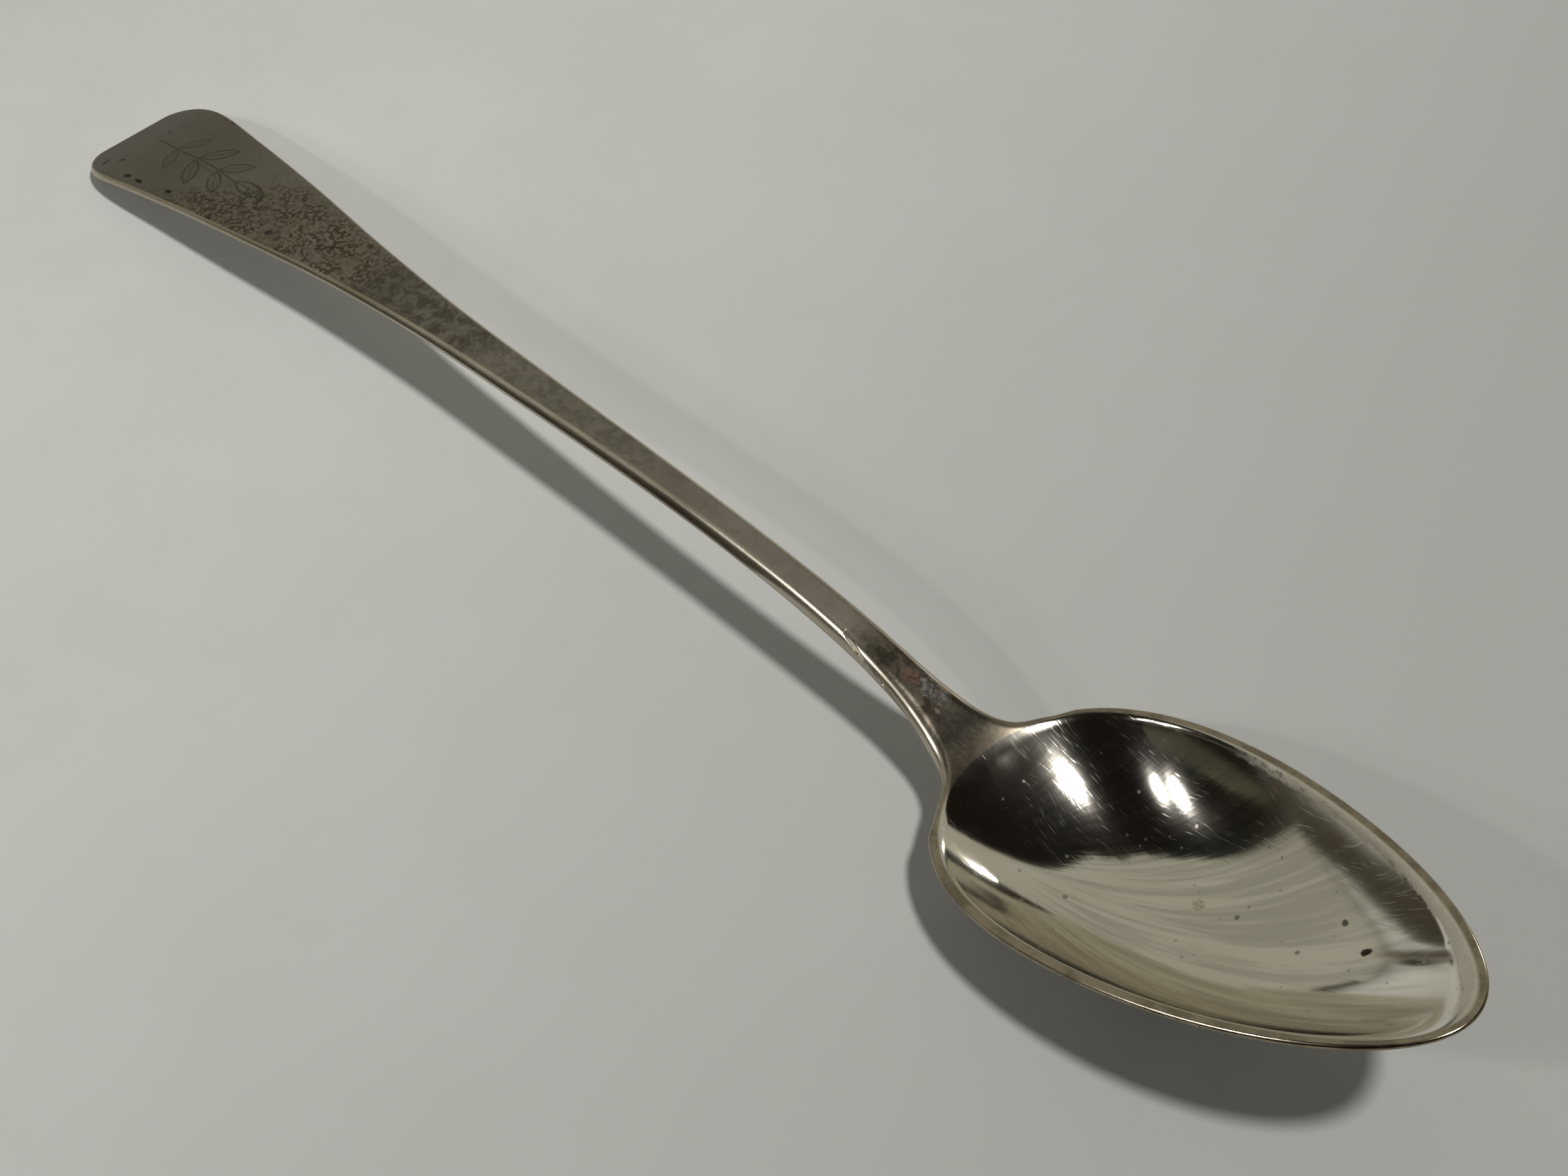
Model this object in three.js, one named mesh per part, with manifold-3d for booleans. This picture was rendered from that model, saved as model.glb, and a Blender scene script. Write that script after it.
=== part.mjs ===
// A basting spoon, bowl up, as it lies on a table.
// Millimetres. +X runs from the end of the handle to the tip of the bowl, +Y across, +Z up, the table at z = 0.
// The bowl is raised from sheet and ends in a short tang. The stem is forged from bar and ends in a tongue.
// The tang lies on the scarfed stem, the tongue laps under the back of the bowl, and solder joins them.
import * as THREE from "three";
import { mergeVertices, toCreasedNormals } from "three/addons/utils/BufferGeometryUtils.js";
import Module from "manifold-3d";

const wasm = await Module();
wasm.setup();

// Sizes of the whole spoon, seen from above and from the side.
const LENGTH = 305; // end of the handle to the tip of the bowl
const BOWL_LENGTH = 82.6; // heel edge to tip
const BOWL_WIDTH = 48.5; // before the egg shape fills it out near the heel
const HEEL_HEIGHT = 10.6; // top of the bowl's edge at the heel
const TIP_HEIGHT = 33; // top of the bowl's edge at the tip
const ARCH_HEIGHT = 20.25; // top of the stem where it stands highest
const REST = 29.6; // heel edge to the lowest point of the bowl
const REST_WORN = 0.1; // metal worn off the bowl's back, which leaves the small flat it rests on

// Sizes of the bowl's sheet.
const WALL = 1.3; // at the bottom of the bowl
const RIM_WIDTH = 1.5; // the lip, seen from above
const LIP = 0.35; // rounding of the lip's outer corner

// Sizes of the stem.
const END_WIDTH = 27.2; // across the handle's end
const END_THICK = 2;
const END_CORNER = 20; // the end's corners round off within this length
const END_SQUARE = 4; // exponent of that rounding: high is square
const END_EDGE = 0.9; // rounding of the end, seen from the side
const STEM_WIDTH = 5.7; // narrowest part
const STEM_THICK = 4.7; // the same, top to back
const NECK = 60; // the last stretch of the stem before the heel

// Sizes of the joint.
const SCARF = 24.4; // heel edge back to the tang's thin edge on top of the stem
const TANG_THICK = 2.6; // tang where it leaves the heel
const TONGUE = 14.6; // heel edge to the rounded end of the tongue
const TONGUE_WIDTH = 9.6;
const TONGUE_THICK = 1.5;
const SOLDER = 0.26; // layer between the tang or the bowl and the stem
const CLEAR = 0.02; // between the solder and each of its neighbours

const HEEL = LENGTH - BOWL_LENGTH;
const BOWL_MID = LENGTH - BOWL_LENGTH / 2;
const REST_X = HEEL + REST;
const SCARF_TOP = HEEL - SCARF;
const TONGUE_END = HEEL + TONGUE;

// A station on the handle, as a share of its length before the neck, and one as a distance from the heel.
const along = (share) => share * (HEEL - NECK);
const heel = (distance) => HEEL + distance;

// A smooth curve y(x) through a list of [x, y] points, straight beyond them.
function through(points) {
  const n = points.length;
  const slope = [];
  for (let i = 0; i < n - 1; i++) {
    slope.push((points[i + 1][1] - points[i][1]) / (points[i + 1][0] - points[i][0]));
  }
  const m = points.map((p, i) => {
    if (i === 0) return slope[0];
    if (i === n - 1) return slope[n - 2];
    const a = points[i][0] - points[i - 1][0];
    const b = points[i + 1][0] - points[i][0];
    return (slope[i - 1] * b + slope[i] * a) / (a + b);
  });
  return (x) => {
    let i = 0;
    while (i < n - 2 && x > points[i + 1][0]) i++;
    const h = points[i + 1][0] - points[i][0];
    const t = (x - points[i][0]) / h;
    if (t < 0) return points[0][1] + m[0] * (x - points[0][0]);
    if (t > 1) return points[n - 1][1] + m[n - 1] * (x - points[n - 1][0]);
    const t2 = t * t;
    const t3 = t2 * t;
    return (
      (2 * t3 - 3 * t2 + 1) * points[i][1] +
      (t3 - 2 * t2 + t) * h * m[i] +
      (3 * t2 - 2 * t3) * points[i + 1][1] +
      (t3 - t2) * h * m[i + 1]
    );
  };
}

// The handle's half-width, top height and thickness along its length.
const E = END_WIDTH / 2;
const N = STEM_WIDTH / 2;
const halfWidth = through([
  [0, E],
  [along(0.074), E * 0.975],
  [along(0.185), E * 0.835],
  [along(0.308), E * 0.673],
  [along(0.462), E * 0.456],
  [along(0.616), E * 0.32],
  [along(0.77), N * 1.26],
  [along(0.924), N * 1.07],
  [heel(-47), N],
  [heel(-29), N * 1.03],
  [heel(-18), N * 1.12],
  [heel(-11), N * 1.3],
  [heel(-6), N * 1.6],
  [heel(-3), N * 1.88],
  [heel(-0.6), N * 2.3],
]);
const topLine = through([
  [0, END_THICK * 1.05],
  [along(0.074), ARCH_HEIGHT * 0.306],
  [along(0.185), ARCH_HEIGHT * 0.469],
  [along(0.308), ARCH_HEIGHT * 0.602],
  [along(0.462), ARCH_HEIGHT * 0.731],
  [along(0.616), ARCH_HEIGHT * 0.83],
  [along(0.77), ARCH_HEIGHT * 0.909],
  [along(0.924), ARCH_HEIGHT * 0.978],
  [heel(-50), ARCH_HEIGHT],
  [heel(-33), ARCH_HEIGHT - 0.75],
  [heel(-23), ARCH_HEIGHT * 0.79 + HEEL_HEIGHT * 0.21],
  [heel(-15), ARCH_HEIGHT * 0.595 + HEEL_HEIGHT * 0.405],
  [heel(-8), ARCH_HEIGHT * 0.362 + HEEL_HEIGHT * 0.638],
  [heel(-3), HEEL_HEIGHT + 1.7],
  [heel(1), HEEL_HEIGHT + 0.65],
  [heel(5), HEEL_HEIGHT + 0.4],
]);
const thickness = through([
  [0, END_THICK],
  [along(0.185), END_THICK],
  [along(0.37), END_THICK * 1.18],
  [along(0.616), STEM_THICK * 0.72],
  [along(0.862), STEM_THICK * 0.9],
  [heel(-47), STEM_THICK],
  [heel(-22), STEM_THICK],
  [heel(-12), STEM_THICK * 0.96],
  [heel(4), STEM_THICK * 0.86],
]);
const edgeSoft = (x) => Math.sqrt(Math.max(0.03, 1 - Math.max(0, 1 - x / END_EDGE) ** 2));
const barTop = (x, line) => line(x) - (thickness(x) * (1 - edgeSoft(x))) / 2;
// The turned-down end comes down to the table: its lowest point is at z = 0.
const endStations = [0.06, 0.25, 0.6, 1.1, 1.8, 2.8, 4.2, 6, 8.5, 11.5, 15, 20, 26];
const endGap = Math.min(...endStations.map((x) => barTop(x, topLine) - thickness(x) * edgeSoft(x)));
const topHeight = (x) => topLine(x) - endGap * Math.max(0, 1 - x / 60) ** 2;

function planWidth(x) {
  const t = Math.max(0, (END_CORNER - x) / END_CORNER);
  return halfWidth(x) * (1 - t ** END_SQUARE) ** (1 / END_SQUARE);
}

// The bowl's edge: an egg in plan, blunt at the heel, its tip raised.
const EGG = { taper: 0.223, square: 0.096, heel: -0.063 };
function eggPoint(a, inset = 0) {
  const at = (u) => {
    const c = Math.cos(u);
    const k = 1 - EGG.taper * c + EGG.square * (c * c - 0.5) + EGG.heel * c ** 3;
    return [BOWL_MID + (BOWL_LENGTH / 2) * c, (BOWL_WIDTH / 2) * Math.sin(u) * k];
  };
  const [x, y] = at(a);
  if (!inset) return [x, y];
  const [x1, y1] = at(a + 1e-3);
  const [x0, y0] = at(a - 1e-3);
  const l = Math.hypot(x1 - x0, y1 - y0);
  return [x - (inset * (y1 - y0)) / l, y + (inset * (x1 - x0)) / l];
}
const eggHalf = (x) => eggPoint(Math.acos(Math.max(-1, Math.min(1, (x - BOWL_MID) / (BOWL_LENGTH / 2)))))[1];
// The share of the climb from heel to tip that the edge has made at each share of the bowl's length.
const edgeClimb = through([
  [0, 0],
  [0.068, 0.016],
  [0.146, 0.071],
  [0.249, 0.17],
  [0.37, 0.29],
  [0.5, 0.424],
  [0.63, 0.5625],
  [0.749, 0.701],
  [0.854, 0.821],
  [0.933, 0.92],
  [1, 1],
]);
const rimHeight = (x) => HEEL_HEIGHT + (TIP_HEIGHT - HEEL_HEIGHT) * edgeClimb((x - HEEL) / BOWL_LENGTH);

// A closed body from rings of equal count, in order, each end closed by a point.
function loft(rings, first, last) {
  const n = rings[0].length;
  const p = [first, ...rings.flat(), last];
  const f = [];
  for (let j = 0; j < n; j++) {
    const k = (j + 1) % n;
    f.push(0, 1 + k, 1 + j);
    for (let i = 0; i < rings.length - 1; i++) {
      const a = 1 + i * n;
      f.push(a + j, a + k, a + n + j, a + k, a + n + k, a + n + j);
    }
    const z = 1 + (rings.length - 1) * n;
    f.push(z + j, z + k, p.length - 1);
  }
  const g = new THREE.BufferGeometry();
  g.setAttribute("position", new THREE.Float32BufferAttribute(p.flat(), 3));
  g.setIndex(f);
  return solid(g);
}

// The same as a solid that can be joined and cut, its faces turned outwards.
function solid(geometry) {
  const bare = new THREE.BufferGeometry().setAttribute("position", geometry.getAttribute("position"));
  if (geometry.index) bare.setIndex(geometry.index);
  const g = mergeVertices(bare, 1e-4);
  const tri = new Uint32Array(g.index.array);
  const vertProperties = g.attributes.position.array;
  const make = () => new wasm.Manifold(new wasm.Mesh({ numProp: 3, vertProperties, triVerts: tri }));
  const m = make();
  if (m.volume() > 0) return m;
  for (let i = 0; i < tri.length; i += 3) [tri[i + 1], tri[i + 2]] = [tri[i + 2], tri[i + 1]];
  return make();
}

// A region of the side view, given by [x, z] corners, extended right across the spoon.
function across(corners) {
  const depth = BOWL_WIDTH * 2;
  const s = new THREE.Shape(corners.map(([x, z]) => new THREE.Vector2(x, z)));
  const g = new THREE.ExtrudeGeometry(s, { depth, bevelEnabled: false });
  g.rotateX(Math.PI / 2);
  g.translate(0, depth / 2, 0);
  return solid(g);
}

// One cross-section of bar: flat top, rounded shoulders, and a back that is flatter where its exponent is high.
function section(x, w, top, thick, shoulder, drop, back) {
  const half = [];
  const r = Math.min(shoulder, w * 0.55);
  const d = Math.min(drop, thick * 0.5);
  for (let i = 0; i <= 3; i++) half.push([(w - r) * (i / 3), 0]);
  for (let i = 1; i <= 5; i++) {
    const a = (Math.PI / 2) * (i / 5);
    half.push([w - r + r * Math.sin(a), -d + d * Math.cos(a)]);
  }
  for (let i = 1; i <= 9; i++) {
    const a = (Math.PI / 2) * (i / 9);
    half.push([w * Math.cos(a) ** (2 / back), -d - (thick - d) * Math.sin(a) ** (2 / back)]);
  }
  half[half.length - 1][0] = 0;
  const ring = half.map(([y, z]) => [x, y, top + z]);
  for (let i = half.length - 2; i > 0; i--) ring.push([x, -half[i][0], top + half[i][1]]);
  return ring;
}

// The rounding of the bar's shoulders, sideways and downwards, and the shape of its back.
const shoulderOf = through([
  [0, 0.8],
  [along(0.37), 1],
  [along(0.677), 1.5],
  [along(0.924), 1.6],
  [heel(-22), 1.9],
  [heel(-2), 2.1],
]);
const dropOf = through([
  [0, 0.8],
  [along(0.37), 0.9],
  [along(0.677), 1.4],
  [along(0.924), 1.7],
  [heel(-22), 1.8],
  [heel(-2), 1.5],
]);
const backOf = through([
  [0, 5],
  [along(0.246), 4.2],
  [along(0.493), 2.9],
  [along(0.739), 2.3],
  [heel(-22), 2.2],
  [heel(-2), 2.2],
]);

const span = (a, b, n) => Array.from({ length: n + 1 }, (_, i) => a + ((b - a) * i) / n);
function bar(x) {
  const t = thickness(x) * edgeSoft(x);
  return section(x, planWidth(x), barTop(x, topHeight), t, shoulderOf(x), dropOf(x), backOf(x));
}

// The bowl's surfaces climb from the rest to the edge along straight lines in plan, by a power of the distance.
// The power is higher at the sides, which makes them steeper above a flatter floor than at the tip and the heel.
const flatness = (a) => 1.95 + 0.5 * Math.sin(a) ** 2;
function bowlPoint(a, q, inset, floor) {
  const [ex, ey] = eggPoint(a, inset);
  const rim = rimHeight(eggPoint(a)[0]);
  return [REST_X + (ex - REST_X) * q, ey * q, floor + (rim - floor) * q ** flatness(a)];
}
function bowlUnder(x) {
  const a = x < REST_X ? Math.PI : 0;
  const [ex] = eggPoint(a);
  return rimHeight(ex) * Math.min(1, (x - REST_X) / (ex - REST_X)) ** flatness(a);
}

// The tongue follows the back of the bowl and thins out towards its rounded end.
const tongueLine = through([
  [heel(-5.4), topHeight(heel(-5.4)) - thickness(heel(-5.4))],
  [heel(-2.4), topHeight(heel(-2.4)) - thickness(heel(-2.4)) - 0.05],
  [heel(TONGUE * 0.11), bowlUnder(heel(TONGUE * 0.11)) - TONGUE_THICK - 0.35],
  [heel(TONGUE * 0.38), bowlUnder(heel(TONGUE * 0.38)) - TONGUE_THICK],
  [heel(TONGUE * 0.66), bowlUnder(heel(TONGUE * 0.66)) - TONGUE_THICK * 0.86],
  [heel(TONGUE * 0.86), bowlUnder(heel(TONGUE * 0.86)) - TONGUE_THICK * 0.6],
  [TONGUE_END, bowlUnder(TONGUE_END) - TONGUE_THICK * 0.15],
]);
const tongueRound = heel(TONGUE * 0.38);
const tongueHalf = through([
  [heel(-5.4), planWidth(heel(-5.4))],
  [heel(-2.4), TONGUE_WIDTH * 0.5],
  [heel(TONGUE * 0.11), TONGUE_WIDTH * 0.5],
  [tongueRound, TONGUE_WIDTH * 0.48],
]);
function tongue(x) {
  const t = Math.max(0, (x - tongueRound) / (TONGUE_END - tongueRound));
  const w = tongueHalf(Math.min(x, tongueRound)) * Math.sqrt(Math.max(0.004, 1 - t * t));
  const top = x < heel(0.6) ? topHeight(x) : Math.min(topHeight(heel(0.6)), bowlUnder(x) + 0.9);
  return section(x, w, top, top - tongueLine(x), 0.5, 0.5, 2.4);
}

const handleStations = [
  ...endStations,
  ...span(along(0.2), along(0.68), 9),
  ...span(along(0.74), heel(-41), 7),
  ...span(heel(-36.5), heel(-5.4), 16),
];
const tongueStations = [
  ...span(heel(-3.9), tongueRound, 6),
  ...[0.165, 0.33, 0.5, 0.64, 0.77, 0.87, 0.94, 0.994].map((t) => tongueRound + (TONGUE_END - tongueRound) * t),
];
const stemBlank = loft(
  [...handleStations.map(bar), ...tongueStations.map(tongue)],
  [0, 0, topHeight(0) - thickness(0) / 2],
  [TONGUE_END, 0, bowlUnder(TONGUE_END) + 0.3],
);

// The bowl's outside and its inside, each a closed body: the shell is the first less the second.
const AROUND = 96;
const angles = span(0, 2 * Math.PI, AROUND).slice(0, AROUND);
const climb = [0.16, 0.3, 0.42, 0.53, 0.63, 0.72, 0.8, 0.87, 0.925, 0.965, 0.99];
const TALL = TIP_HEIGHT * 2;
const edgeRing = (inset, lift) =>
  angles.map((a) => {
    const [x, y] = eggPoint(a, inset);
    return [x, y, rimHeight(eggPoint(a)[0]) + lift];
  });
const surface = (inset, floor) => climb.map((q) => angles.map((a) => bowlPoint(a, q, inset, floor)));
const outside = loft(
  [...surface(0, -REST_WORN), edgeRing(0, -LIP), edgeRing(LIP * 0.3, -LIP * 0.3), edgeRing(LIP, 0)],
  [REST_X, 0, -REST_WORN],
  [REST_X, 0, rimHeight(REST_X)],
);
const INNER = RIM_WIDTH - LIP * 0.6;
const inside = loft(
  [...surface(RIM_WIDTH, WALL), edgeRing(RIM_WIDTH, -LIP * 0.6), edgeRing(INNER, -LIP * 0.15), edgeRing(INNER, TALL)],
  [REST_X, 0, WALL],
  [REST_X, 0, TALL * 2],
);
const below = across([
  [REST_X - 20, -5],
  [REST_X + 20, -5],
  [REST_X + 20, 0],
  [REST_X - 20, 0],
]);
const hull = outside.subtract(below);

// The neck: the tang, and the two filleted shoulders that run into the bowl's edge.
const JOIN = 4.8; // heel edge to where the shoulders meet the bowl's edge
const joinHalf = eggHalf(heel(JOIN)) - 0.9;
const rootHalf = N * 2.28;
const shoulderLine = through([
  [heel(-9.4), planWidth(heel(-9.4))],
  [heel(-5.4), planWidth(heel(-5.4))],
  [heel(-2.4), planWidth(heel(-2.4))],
  [heel(-0.6), rootHalf],
  [heel(0.6), rootHalf + (joinHalf - rootHalf) * 0.12],
  [heel(1.6), rootHalf + (joinHalf - rootHalf) * 0.277],
  [heel(2.5), rootHalf + (joinHalf - rootHalf) * 0.494],
  [heel(3.6), rootHalf + (joinHalf - rootHalf) * 0.757],
  [heel(JOIN), joinHalf],
]);
const tangThick = through([
  [heel(-9.4), TANG_THICK],
  [heel(-1.4), TANG_THICK * 0.85],
  [heel(JOIN), RIM_WIDTH],
]);
const neckStations = [...span(heel(-9.4), heel(-1.4), 6), ...span(heel(-0.5), heel(JOIN), 10)];
const neck = loft(
  neckStations.map((x) =>
    section(x, shoulderLine(x), topHeight(x), tangThick(x), shoulderOf(x), dropOf(x) * 0.8, 3),
  ),
  [heel(-9.5), 0, topHeight(heel(-9.4)) - TANG_THICK / 2],
  [heel(JOIN + 0.1), 0, topHeight(heel(JOIN)) - RIM_WIDTH / 2],
);

// The joint. The scarf, in side view, runs from the top of the stem down to the back of the bowl.
function scarf(shift) {
  const line = [
    [SCARF_TOP - 4, topHeight(SCARF_TOP - 4) + 1.4],
    [SCARF_TOP, topHeight(SCARF_TOP)],
    [SCARF_TOP + SCARF * 0.287, topHeight(SCARF_TOP + SCARF * 0.287) - TANG_THICK * 0.346],
    [SCARF_TOP + SCARF * 0.615, topHeight(SCARF_TOP + SCARF * 0.615) - TANG_THICK * 0.808],
    [heel(-3.4), topHeight(heel(-3.4)) - TANG_THICK],
    [heel(1.6), bowlUnder(heel(1.6)) + 0.2],
  ];
  return across([...line.map(([x, z]) => [x, z - shift]), [heel(1.6), TALL], [SCARF_TOP - 4, TALL]]);
}
const lowered = (body, d) => body.translate([0, 0, -d]);
// Everything above the joint, grown downwards by d: the room that the bowl takes out of the stem.
const above = (d) => lowered(hull, d).add(hull).add(lowered(neck, d)).add(neck).add(scarf(d));

const bowl = hull.add(neck).add(stemBlank.intersect(scarf(0))).subtract(inside);
const stem = stemBlank.subtract(above(SOLDER + CLEAR)).subtract(inside);
const solder = stemBlank.intersect(above(SOLDER)).subtract(above(CLEAR)).subtract(inside);

// The finished pieces, moved so that the origin is under the middle of the spoon.
const group = new THREE.Group();
group.name = "basting_spoon";
function piece(name, body, color, roughness, metalness) {
  const m = body.translate([-LENGTH / 2, 0, 0]).getMesh();
  const p = new Float32Array(m.numVert * 3);
  for (let i = 0; i < m.numVert; i++) p.set(m.vertProperties.subarray(i * m.numProp, i * m.numProp + 3), i * 3);
  const g = new THREE.BufferGeometry();
  g.setAttribute("position", new THREE.BufferAttribute(p, 3));
  g.setIndex(new THREE.BufferAttribute(new Uint32Array(m.triVerts), 1));
  const material = new THREE.MeshStandardMaterial({ name, color, roughness, metalness });
  const mesh = new THREE.Mesh(toCreasedNormals(g, 0.6), material);
  mesh.name = name;
  group.add(mesh);
}
piece("bowl", bowl, 0xb5afa1, 0.16, 1);
piece("stem", stem, 0x7d746a, 0.42, 1);
piece("solder_seam", solder, 0x8c7a70, 0.5, 1);

export default group;
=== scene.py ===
import math

import bmesh
import bpy
import numpy as np
from mathutils import Matrix, Vector


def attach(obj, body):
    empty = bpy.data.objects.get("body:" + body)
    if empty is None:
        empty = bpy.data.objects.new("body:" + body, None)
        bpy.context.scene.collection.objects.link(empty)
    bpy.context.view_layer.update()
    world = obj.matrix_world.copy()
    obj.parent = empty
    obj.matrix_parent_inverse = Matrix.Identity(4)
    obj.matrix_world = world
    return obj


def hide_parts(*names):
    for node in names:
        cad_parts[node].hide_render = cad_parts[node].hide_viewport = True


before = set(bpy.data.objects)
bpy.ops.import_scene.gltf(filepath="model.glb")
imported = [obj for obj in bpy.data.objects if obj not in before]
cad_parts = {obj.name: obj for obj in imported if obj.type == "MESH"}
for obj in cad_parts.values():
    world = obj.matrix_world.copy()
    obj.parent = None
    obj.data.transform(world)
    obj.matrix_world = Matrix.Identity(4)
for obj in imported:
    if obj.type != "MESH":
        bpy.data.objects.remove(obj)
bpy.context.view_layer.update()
MM = 0.001

# Sizes, in millimetres, measured from the end of the handle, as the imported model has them.
LENGTH, BOWL_LENGTH, BOWL_WIDTH = 305.0, 82.6, 48.5
HEEL_HEIGHT, TIP_HEIGHT, ARCH_HEIGHT = 10.6, 33.0, 20.25
REST, REST_WORN, WALL, RIM_WIDTH = 29.6, 0.1, 1.3, 1.5
END_WIDTH, END_THICK, END_CORNER, END_SQUARE, END_EDGE = 27.2, 2.0, 20.0, 4.0, 0.9
STEM_WIDTH, STEM_THICK, NECK = 5.7, 4.7, 60.0
SCARF, TANG_THICK, TONGUE, TONGUE_WIDTH, TONGUE_THICK = 24.4, 2.6, 14.6, 9.6, 1.5
SOLDER_GAP = 0.3
HEEL = LENGTH - BOWL_LENGTH
BOWL_MID = LENGTH - BOWL_LENGTH / 2
REST_X = HEEL + REST
SCARF_TOP = HEEL - SCARF
TONGUE_END = HEEL + TONGUE

# Stations of the joint. On the stem: where its back starts to spread into the tongue and is as wide as the
# tongue, and where its top goes under the bowl. On the scarf: two stations on its slope with the tang's
# thickness there, where the tang is at full thickness, and where the scarf meets the bowl's back.
TONGUE_START, TONGUE_WIDE, ROOF_END = HEEL - 5.4, HEEL - 2.4, HEEL + 0.6
SCARF_UPPER, SCARF_LOWER = SCARF_TOP + SCARF * 0.287, SCARF_TOP + SCARF * 0.615
TANG_UPPER, TANG_LOWER = TANG_THICK * 0.346, TANG_THICK * 0.808
TANG_FULL, SCARF_END = HEEL - 3.4, HEEL + 1.6

# Shape values that have no size of their own: how the egg departs from an ellipse (blunter heel, fuller
# middle, finer tip), how steeply the bowl's wall climbs at its ends and how much more at its sides, and the
# share of the bar's half-width that its rounded shoulder may take.
EGG_BLUNT, EGG_FULL, EGG_FINE = 0.223, 0.096, 0.063
WALL_POWER, SIDE_POWER = 1.95, 0.5
SHOULDER_SHARE = 0.55

# The square of the least share of its thickness that the handle's end keeps, and of its width that the
# tongue's end keeps.
LEAST_END, LEAST_TONGUE = 0.03, 0.004

# The length, in millimetres, over which the handle's end is lowered onto the table.
LOWERED_LENGTH = 60

# A height, in millimetres, above all of the spoon: a bar that is cut there isn't cut at all.
UNCUT = 99.0

# How close, in metres, two points of a mesh are to count as one.
MERGE_DISTANCE = 2e-6


def along(share):
    """A station on the handle, as a share of its length before the neck."""
    return share * (HEEL - NECK)


def curve(*points):
    """A smooth curve y(x) through [x, y] points: cubic pieces with matched slopes, straight beyond the
    ends."""
    p = np.array(points, float)
    x0, y0 = p[:, 0], p[:, 1]
    h = np.diff(x0)
    s = np.diff(y0) / h
    m = np.r_[s[0], (s[:-1] * h[1:] + s[1:] * h[:-1]) / (h[1:] + h[:-1]), s[-1]]

    def at(x):
        x = np.asarray(x, float)
        i = np.clip(np.searchsorted(x0, x) - 1, 0, len(s) - 1)
        t = (x - x0[i]) / h[i]
        c = np.clip(t, 0, 1)
        y = (2 * c**3 - 3 * c**2 + 1) * y0[i] + (c**3 - 2 * c**2 + c) * h[i] * m[i]
        y = y + (3 * c**2 - 2 * c**3) * y0[i + 1] + (c**3 - c**2) * h[i] * m[i + 1]
        return y + np.minimum(t, 0) * h[i] * m[i] + np.maximum(t - 1, 0) * h[i] * m[i + 1]

    return at


# Half the width of the broad end and half that of the slim stem, which the handle's half-width runs
# between.
E, N = END_WIDTH / 2, STEM_WIDTH / 2
half_width = curve(
    [0, E], [along(0.074), E * 0.975], [along(0.185), E * 0.835], [along(0.308), E * 0.673],
    [along(0.462), E * 0.456], [along(0.616), E * 0.32], [along(0.77), N * 1.26], [along(0.924), N * 1.07],
    [HEEL - 47, N], [HEEL - 29, N * 1.03], [HEEL - 18, N * 1.12], [HEEL - 11, N * 1.3],
    [HEEL - 6, N * 1.6], [HEEL - 3, N * 1.88], [HEEL - 0.6, N * 2.3],
)
top_line = curve(
    [0, END_THICK * 1.05], [along(0.074), ARCH_HEIGHT * 0.306], [along(0.185), ARCH_HEIGHT * 0.469],
    [along(0.308), ARCH_HEIGHT * 0.602], [along(0.462), ARCH_HEIGHT * 0.731],
    [along(0.616), ARCH_HEIGHT * 0.83], [along(0.77), ARCH_HEIGHT * 0.909],
    [along(0.924), ARCH_HEIGHT * 0.978], [HEEL - 50, ARCH_HEIGHT], [HEEL - 33, ARCH_HEIGHT - 0.75],
    [HEEL - 23, ARCH_HEIGHT * 0.79 + HEEL_HEIGHT * 0.21],
    [HEEL - 15, ARCH_HEIGHT * 0.595 + HEEL_HEIGHT * 0.405],
    [HEEL - 8, ARCH_HEIGHT * 0.362 + HEEL_HEIGHT * 0.638],
    [HEEL - 3, HEEL_HEIGHT + 1.7], [HEEL + 1, HEEL_HEIGHT + 0.65], [HEEL + 5, HEEL_HEIGHT + 0.4],
)
thickness = curve(
    [0, END_THICK], [along(0.185), END_THICK], [along(0.37), END_THICK * 1.18],
    [along(0.616), STEM_THICK * 0.72], [along(0.862), STEM_THICK * 0.9],
    [HEEL - 47, STEM_THICK], [HEEL - 22, STEM_THICK],
    [HEEL - 12, STEM_THICK * 0.96], [HEEL + 4, STEM_THICK * 0.86],
)
shoulder_of = curve(
    [0, 0.8], [along(0.37), 1], [along(0.677), 1.5], [along(0.924), 1.6], [HEEL - 22, 1.9], [HEEL - 2, 1.9],
)
drop_of = curve(
    [0, 0.8], [along(0.37), 0.9], [along(0.677), 1.4], [along(0.924), 1.7], [HEEL - 22, 1.8], [HEEL - 2, 1.5],
)
back_of = curve([0, 5], [along(0.246), 4.2], [along(0.493), 2.9], [along(0.739), 2.3], [HEEL - 2, 2.2])
_climb = curve(
    [0, 0], [0.068, 0.016], [0.146, 0.071], [0.249, 0.17], [0.37, 0.29], [0.5, 0.424],
    [0.63, 0.5625], [0.749, 0.701], [0.854, 0.821], [0.933, 0.92], [1, 1],
)
_share = np.linspace(0, 1, 401)
edge_climb = np.poly1d(np.polyfit(_share, _climb(_share), 6))


def edge_soft(x):
    """How much of its thickness the bar has near its end: a quarter circle over END_EDGE, never quite
    nothing."""
    return np.sqrt(np.maximum(LEAST_END, 1 - np.maximum(0, 1 - x / END_EDGE) ** 2))


def bar_top(x, line):
    """The height of the bar's top, which near its end comes down by half of the thickness lost there."""
    return line(x) - thickness(x) * (1 - edge_soft(x)) / 2


# How far the handle's end would hover over the table: the lowest point of its back at these stations.
_end = np.array([0.06, 0.25, 0.6, 1.1, 1.8, 2.8, 4.2, 6, 8.5, 11.5, 15, 20, 26])
END_GAP = float(np.min(bar_top(_end, top_line) - thickness(_end) * edge_soft(_end)))


def top_height(x):
    """The top of the handle: the side-view curve, its turned-down end lowered onto the table."""
    return top_line(x) - END_GAP * np.maximum(0, 1 - x / LOWERED_LENGTH) ** 2


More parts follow.
